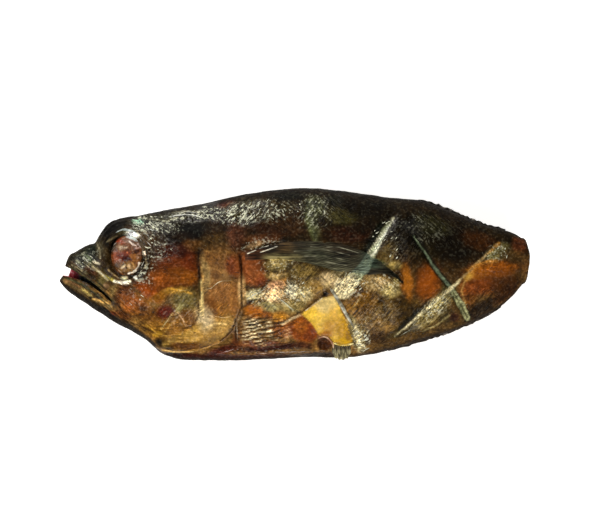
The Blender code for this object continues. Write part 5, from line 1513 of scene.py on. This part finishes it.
# Where each kind lies: (x, y, half length, half width, turn in degrees, share).
SCALE_PLACES = (
    (-24, 30, 8, 4.6, 8, 1), (-12, 31, 6, 4, 0, 0.35), (-42, 30.5, 7, 2.8, -12, 0.7),
    (-55, 29.4, 10, 1.7, 5, 0.8), (-71, 24.5, 9, 4, -10, 0.6), (-77, 26.4, 3.2, 2, 0, 0.9),
    (-2, 32, 6, 4, 0, 0.2), (10, 31, 7, 7, 0, 0.10), (60, 26, 8, 4, 0, 0.04), (49, 14, 5, 8, 0, 0.05),
    (-103, 7, 5, 3.4, 25, 0.25), (43.5, 20, 3, 9, -32, 0.35), (102, 10, 5, 4, 35, 0.14),
    (33, -33, 2.6, 6, 12, 0.6), (-76, 0, 3, 4, 0, 0.4), (-67, 13, 6, 6, 0, 0.35), (-80, -11, 5, 4, 0, 0.12),
    (3, -8, 5, 4, 0, 0.15), (29, -5, 5, 5, 0, 0.25), (69, -18, 7, 3, 40, 0.3),
)
CREASE_PLACES = (
    (-16, -27, 14, 8, 0, 1), (-67, 14, 10, 12, 0, 0.7), (-74, 24, 10, 6, 0, 0.6), (-50, 29, 16, 4, 5, 0.8),
    (-20, 30, 26, 7, 0, 0.6), (-36, -2, 9, 22, 0, 0.3), (-12, -10, 14, 8, 0, 0.6), (4, -9, 8, 8, 0, 0.5),
    (8, 0, 12, 6, 0, 0.4), (28, -6, 8, 8, 0, 0.6), (39, -20, 14, 13, 0, 0.6), (68, -18, 14, 7, 38, 0.6),
    (53, 14, 9, 12, 0, 0.3), (-58, -20, 14, 12, 0, 0.4), (-82, -12, 8, 10, 0, 0.5),
    (-98, -2, 14, 10, -38, 0.5), (66, 22, 18, 8, 0, 0.35), (-20, -37, 22, 3, 0, 0.7),
    (50, -30, 20, 8, 15, 0.35), (95, -14, 16, 8, 20, 0.25), (98, 8, 12, 6, 30, 0.4),
    (20, 33, 10, 8, 0, 0.5), (-40, -32, 14, 6, 20, 0.3), (4, -28, 8, 6, 0, 0.3),
)
for name, places, seed in (("scale_share", SCALE_PLACES, 161), ("crease_share", CREASE_PLACES, 171)):
    share = strongest(places, 0.0, soft=0.35)
    open_skin = (1 - gold) * ease(0.985, 0.94, np.abs(across)) * (1 - spot_mask(-49, 21, 6, 4.6, 0))
    open_skin = open_skin * bare * ease(0.6, 2.2, points[:, 2])
    put_paint(body, name, share * ease(-0.5, 0.3, cloud(points, 4.0, seed)) * open_skin)

scatter_tree = bpy.data.node_groups.new("scatter_on_skin", "GeometryNodeTree")
face = scatter_tree.interface
face.new_socket("Geometry", in_out="INPUT", socket_type="NodeSocketGeometry")
sockets = {
    label: face.new_socket(label, in_out="INPUT", socket_type="NodeSocket" + kind).identifier
    for label, kind in (("Density", "Float"), ("Share", "String"), ("Shape", "Object"), ("Seed", "Int"),
                        ("Material", "Material"))
}
face.new_socket("Geometry", in_out="OUTPUT", socket_type="NodeSocketGeometry")
entry = add(scatter_tree, "NodeGroupInput").outputs
share = add(scatter_tree, "GeometryNodeInputNamedAttribute", {"Name": entry["Share"]}, data_type="FLOAT")
dense = add(scatter_tree, "ShaderNodeMath", {
    0: share.outputs["Attribute"], 1: entry["Density"]}, operation="MULTIPLY")
spread = add(scatter_tree, "GeometryNodeDistributePointsOnFaces", {
    "Mesh": entry["Geometry"], "Density": dense.outputs[0], "Seed": entry["Seed"]})
drawn_x = add(scatter_tree, "GeometryNodeInputNamedAttribute", {"Name": "drawn_x"}, data_type="FLOAT")
drawn_y = add(scatter_tree, "GeometryNodeInputNamedAttribute", {"Name": "drawn_y"}, data_type="FLOAT")
level_y = add(scatter_tree, "ShaderNodeMath", {
    0: drawn_y.outputs["Attribute"], 1: 2.0, 2: -1.0}, operation="MULTIPLY_ADD")
way = add(scatter_tree, "ShaderNodeCombineXYZ", {"X": drawn_x.outputs["Attribute"], "Y": level_y.outputs[0]})
lined_up = add(scatter_tree, "FunctionNodeAlignRotationToVector", {
    "Rotation": spread.outputs["Rotation"], "Vector": way.outputs[0]}, axis="X", pivot_axis="Z")
tilt = add(scatter_tree, "FunctionNodeRandomValue", {
    "Min": (-0.2, -0.1, -0.2), "Max": (0.2, 0.1, 0.2), "Seed": 4}, data_type="FLOAT_VECTOR")
leaning = add(scatter_tree, "FunctionNodeRotateRotation", {
    "Rotation": lined_up.outputs[0], "Rotate By": tilt.outputs["Value"]}, rotation_space="LOCAL")
sizes = add(scatter_tree, "FunctionNodeRandomValue", {
    "Min": (0.35, 0.5, 0.6), "Max": (1.5, 1.2, 1.2), "Seed": 5}, data_type="FLOAT_VECTOR")
shape = add(scatter_tree, "GeometryNodeObjectInfo", {"Object": entry["Shape"]})
placed = add(scatter_tree, "GeometryNodeInstanceOnPoints", {
    "Points": spread.outputs["Points"], "Instance": shape.outputs["Geometry"],
    "Rotation": leaning.outputs[0], "Scale": sizes.outputs["Value"]})
real = add(scatter_tree, "GeometryNodeRealizeInstances", {"Geometry": placed.outputs["Instances"]})
coated = add(scatter_tree, "GeometryNodeSetMaterial", {
    "Geometry": real.outputs["Geometry"], "Material": entry["Material"]})
add(scatter_tree, "NodeGroupOutput", {"Geometry": coated.outputs["Geometry"]})

for name, half, material, share_name, density, seed in (
    ("loose_scales", SCALE_HALF, scale_skin, "scale_share", 1.5, 3),
    ("skin_creases", CREASE_HALF, crease_skin, "crease_share", 1.2, 8),
):
    shape = spindle(name + "_shape", half, material)
    scattered = bpy.data.objects.new(name, body.data.copy())
    bpy.context.scene.collection.objects.link(scattered)
    scatter = scattered.modifiers.new("scatter", "NODES")
    scatter.node_group = scatter_tree
    settings = {
        "Density": density / MM**2, "Share": share_name, "Shape": shape, "Seed": seed, "Material": material}
    for label, value in settings.items():
        scatter[sockets[label]] = value
    scattered = baked_copy(scattered)
    bpy.data.objects.remove(shape, do_unlink=True)
    lying = coordinates(scattered)
    lying[:, 2] = np.maximum(lying[:, 2], TABLE_CLEAR)
    put_coordinates(scattered, lying)
    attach(scattered, "root")

# -----------------------------------------------------------------------------
# The studio: a pale matt table, a soft key light beyond the back, softer ones on the belly's side
# and before the snout, and a camera straight above the shown flank.
# -----------------------------------------------------------------------------
MM_ACROSS = 303.5  # what the view spans at the fish
LENS, SENSOR = 90.0, 36.0
AIM = (4.5, 10.75)
TABLE_HALF = 2000
TABLE_DROP = 0.3  # how far the table lies under the fish

# Opal acrylic lit from below, as used under food to be cut out: matt, white and nearly shadowless.
# Its glow is seen but lights nothing, so that the fish's sides stay as dark as they are.
opal_table, tree = new_material("opal_light_table")
place = add(tree, "ShaderNodeTexCoord").outputs["Object"]
haze = add(tree, "ShaderNodeTexNoise", {"Vector": place, "Scale": PER_MM / 60.0, "Detail": 2.0})
glow = add(tree, "ShaderNodeMapRange", {
    "Value": haze.outputs["Fac"], "From Min": 0.3, "From Max": 0.7, "To Min": 0.60, "To Max": 0.64})
seen = add(tree, "ShaderNodeLightPath").outputs["Is Camera Ray"]
seen_glow = add(tree, "ShaderNodeMath", {0: glow.outputs[0], 1: seen}, operation="MULTIPLY")
table_shader = add(tree, "ShaderNodeBsdfPrincipled", {
    "Base Color": (0.9, 0.9, 0.9, 1), "Roughness": 0.85, "Emission Color": (1, 1, 1, 1),
    "Emission Strength": seen_glow.outputs[0]})
add(tree, "ShaderNodeOutputMaterial", {"Surface": table_shader.outputs[0]})
table_corners = [
    (along * TABLE_HALF, aside * TABLE_HALF, -TABLE_DROP)
    for along, aside in ((-1, -1), (1, -1), (1, 1), (-1, 1))
]
floor = mesh_object("floor", table_corners, [(0, 1, 2, 3)], opal_table)

world = bpy.data.worlds.new("studio_air")
world.use_nodes = True
world.node_tree.nodes["Background"].inputs["Color"].default_value = (0.92, 0.96, 1.0, 1)
world.node_tree.nodes["Background"].inputs["Strength"].default_value = 0.15
bpy.context.scene.world = world


def soft_light(name, place, size, watts, colour):
    """A square area light at a place in metres that faces the middle of the fish."""
    lamp = bpy.data.lights.new(name, "AREA")
    lamp.shape, lamp.size, lamp.energy, lamp.color = "SQUARE", size, watts, colour
    item = bpy.data.objects.new(name, lamp)
    item.location = place
    to_fish = np.array((0, 0, 0.02)) - np.array(place)
    length = np.linalg.norm(to_fish)
    heading = math.atan2(to_fish[1], to_fish[0]) - math.pi / 2
    item.rotation_euler = (math.acos(-to_fish[2] / length), 0, heading)
    bpy.context.scene.collection.objects.link(item)


soft_light("back_side", (-0.40, 1.04, 0.50), 0.30, 13.0, (1.0, 0.95, 0.86))
soft_light("belly_side", (0.35, -0.85, 0.72), 0.45, 10.5, (1.0, 0.93, 0.82))
soft_light("head_side", (-0.95, -0.10, 0.55), 0.35, 4.5, (0.96, 0.98, 1.0))

camera_data = bpy.data.cameras.new("camera")
camera_data.lens, camera_data.sensor_width = LENS, SENSOR
camera_data.clip_start, camera_data.clip_end = 0.01, 10.0
camera = bpy.data.objects.new("camera", camera_data)
mid_plane = 0.5 * (cad_box[0][2] + cad_box[1][2])
camera.location = (AIM[0] * MM, AIM[1] * MM, mid_plane + MM_ACROSS * MM * LENS / SENSOR)
bpy.context.scene.collection.objects.link(camera)
bpy.context.scene.camera = camera
bpy.context.scene.view_settings.view_transform = "Standard"
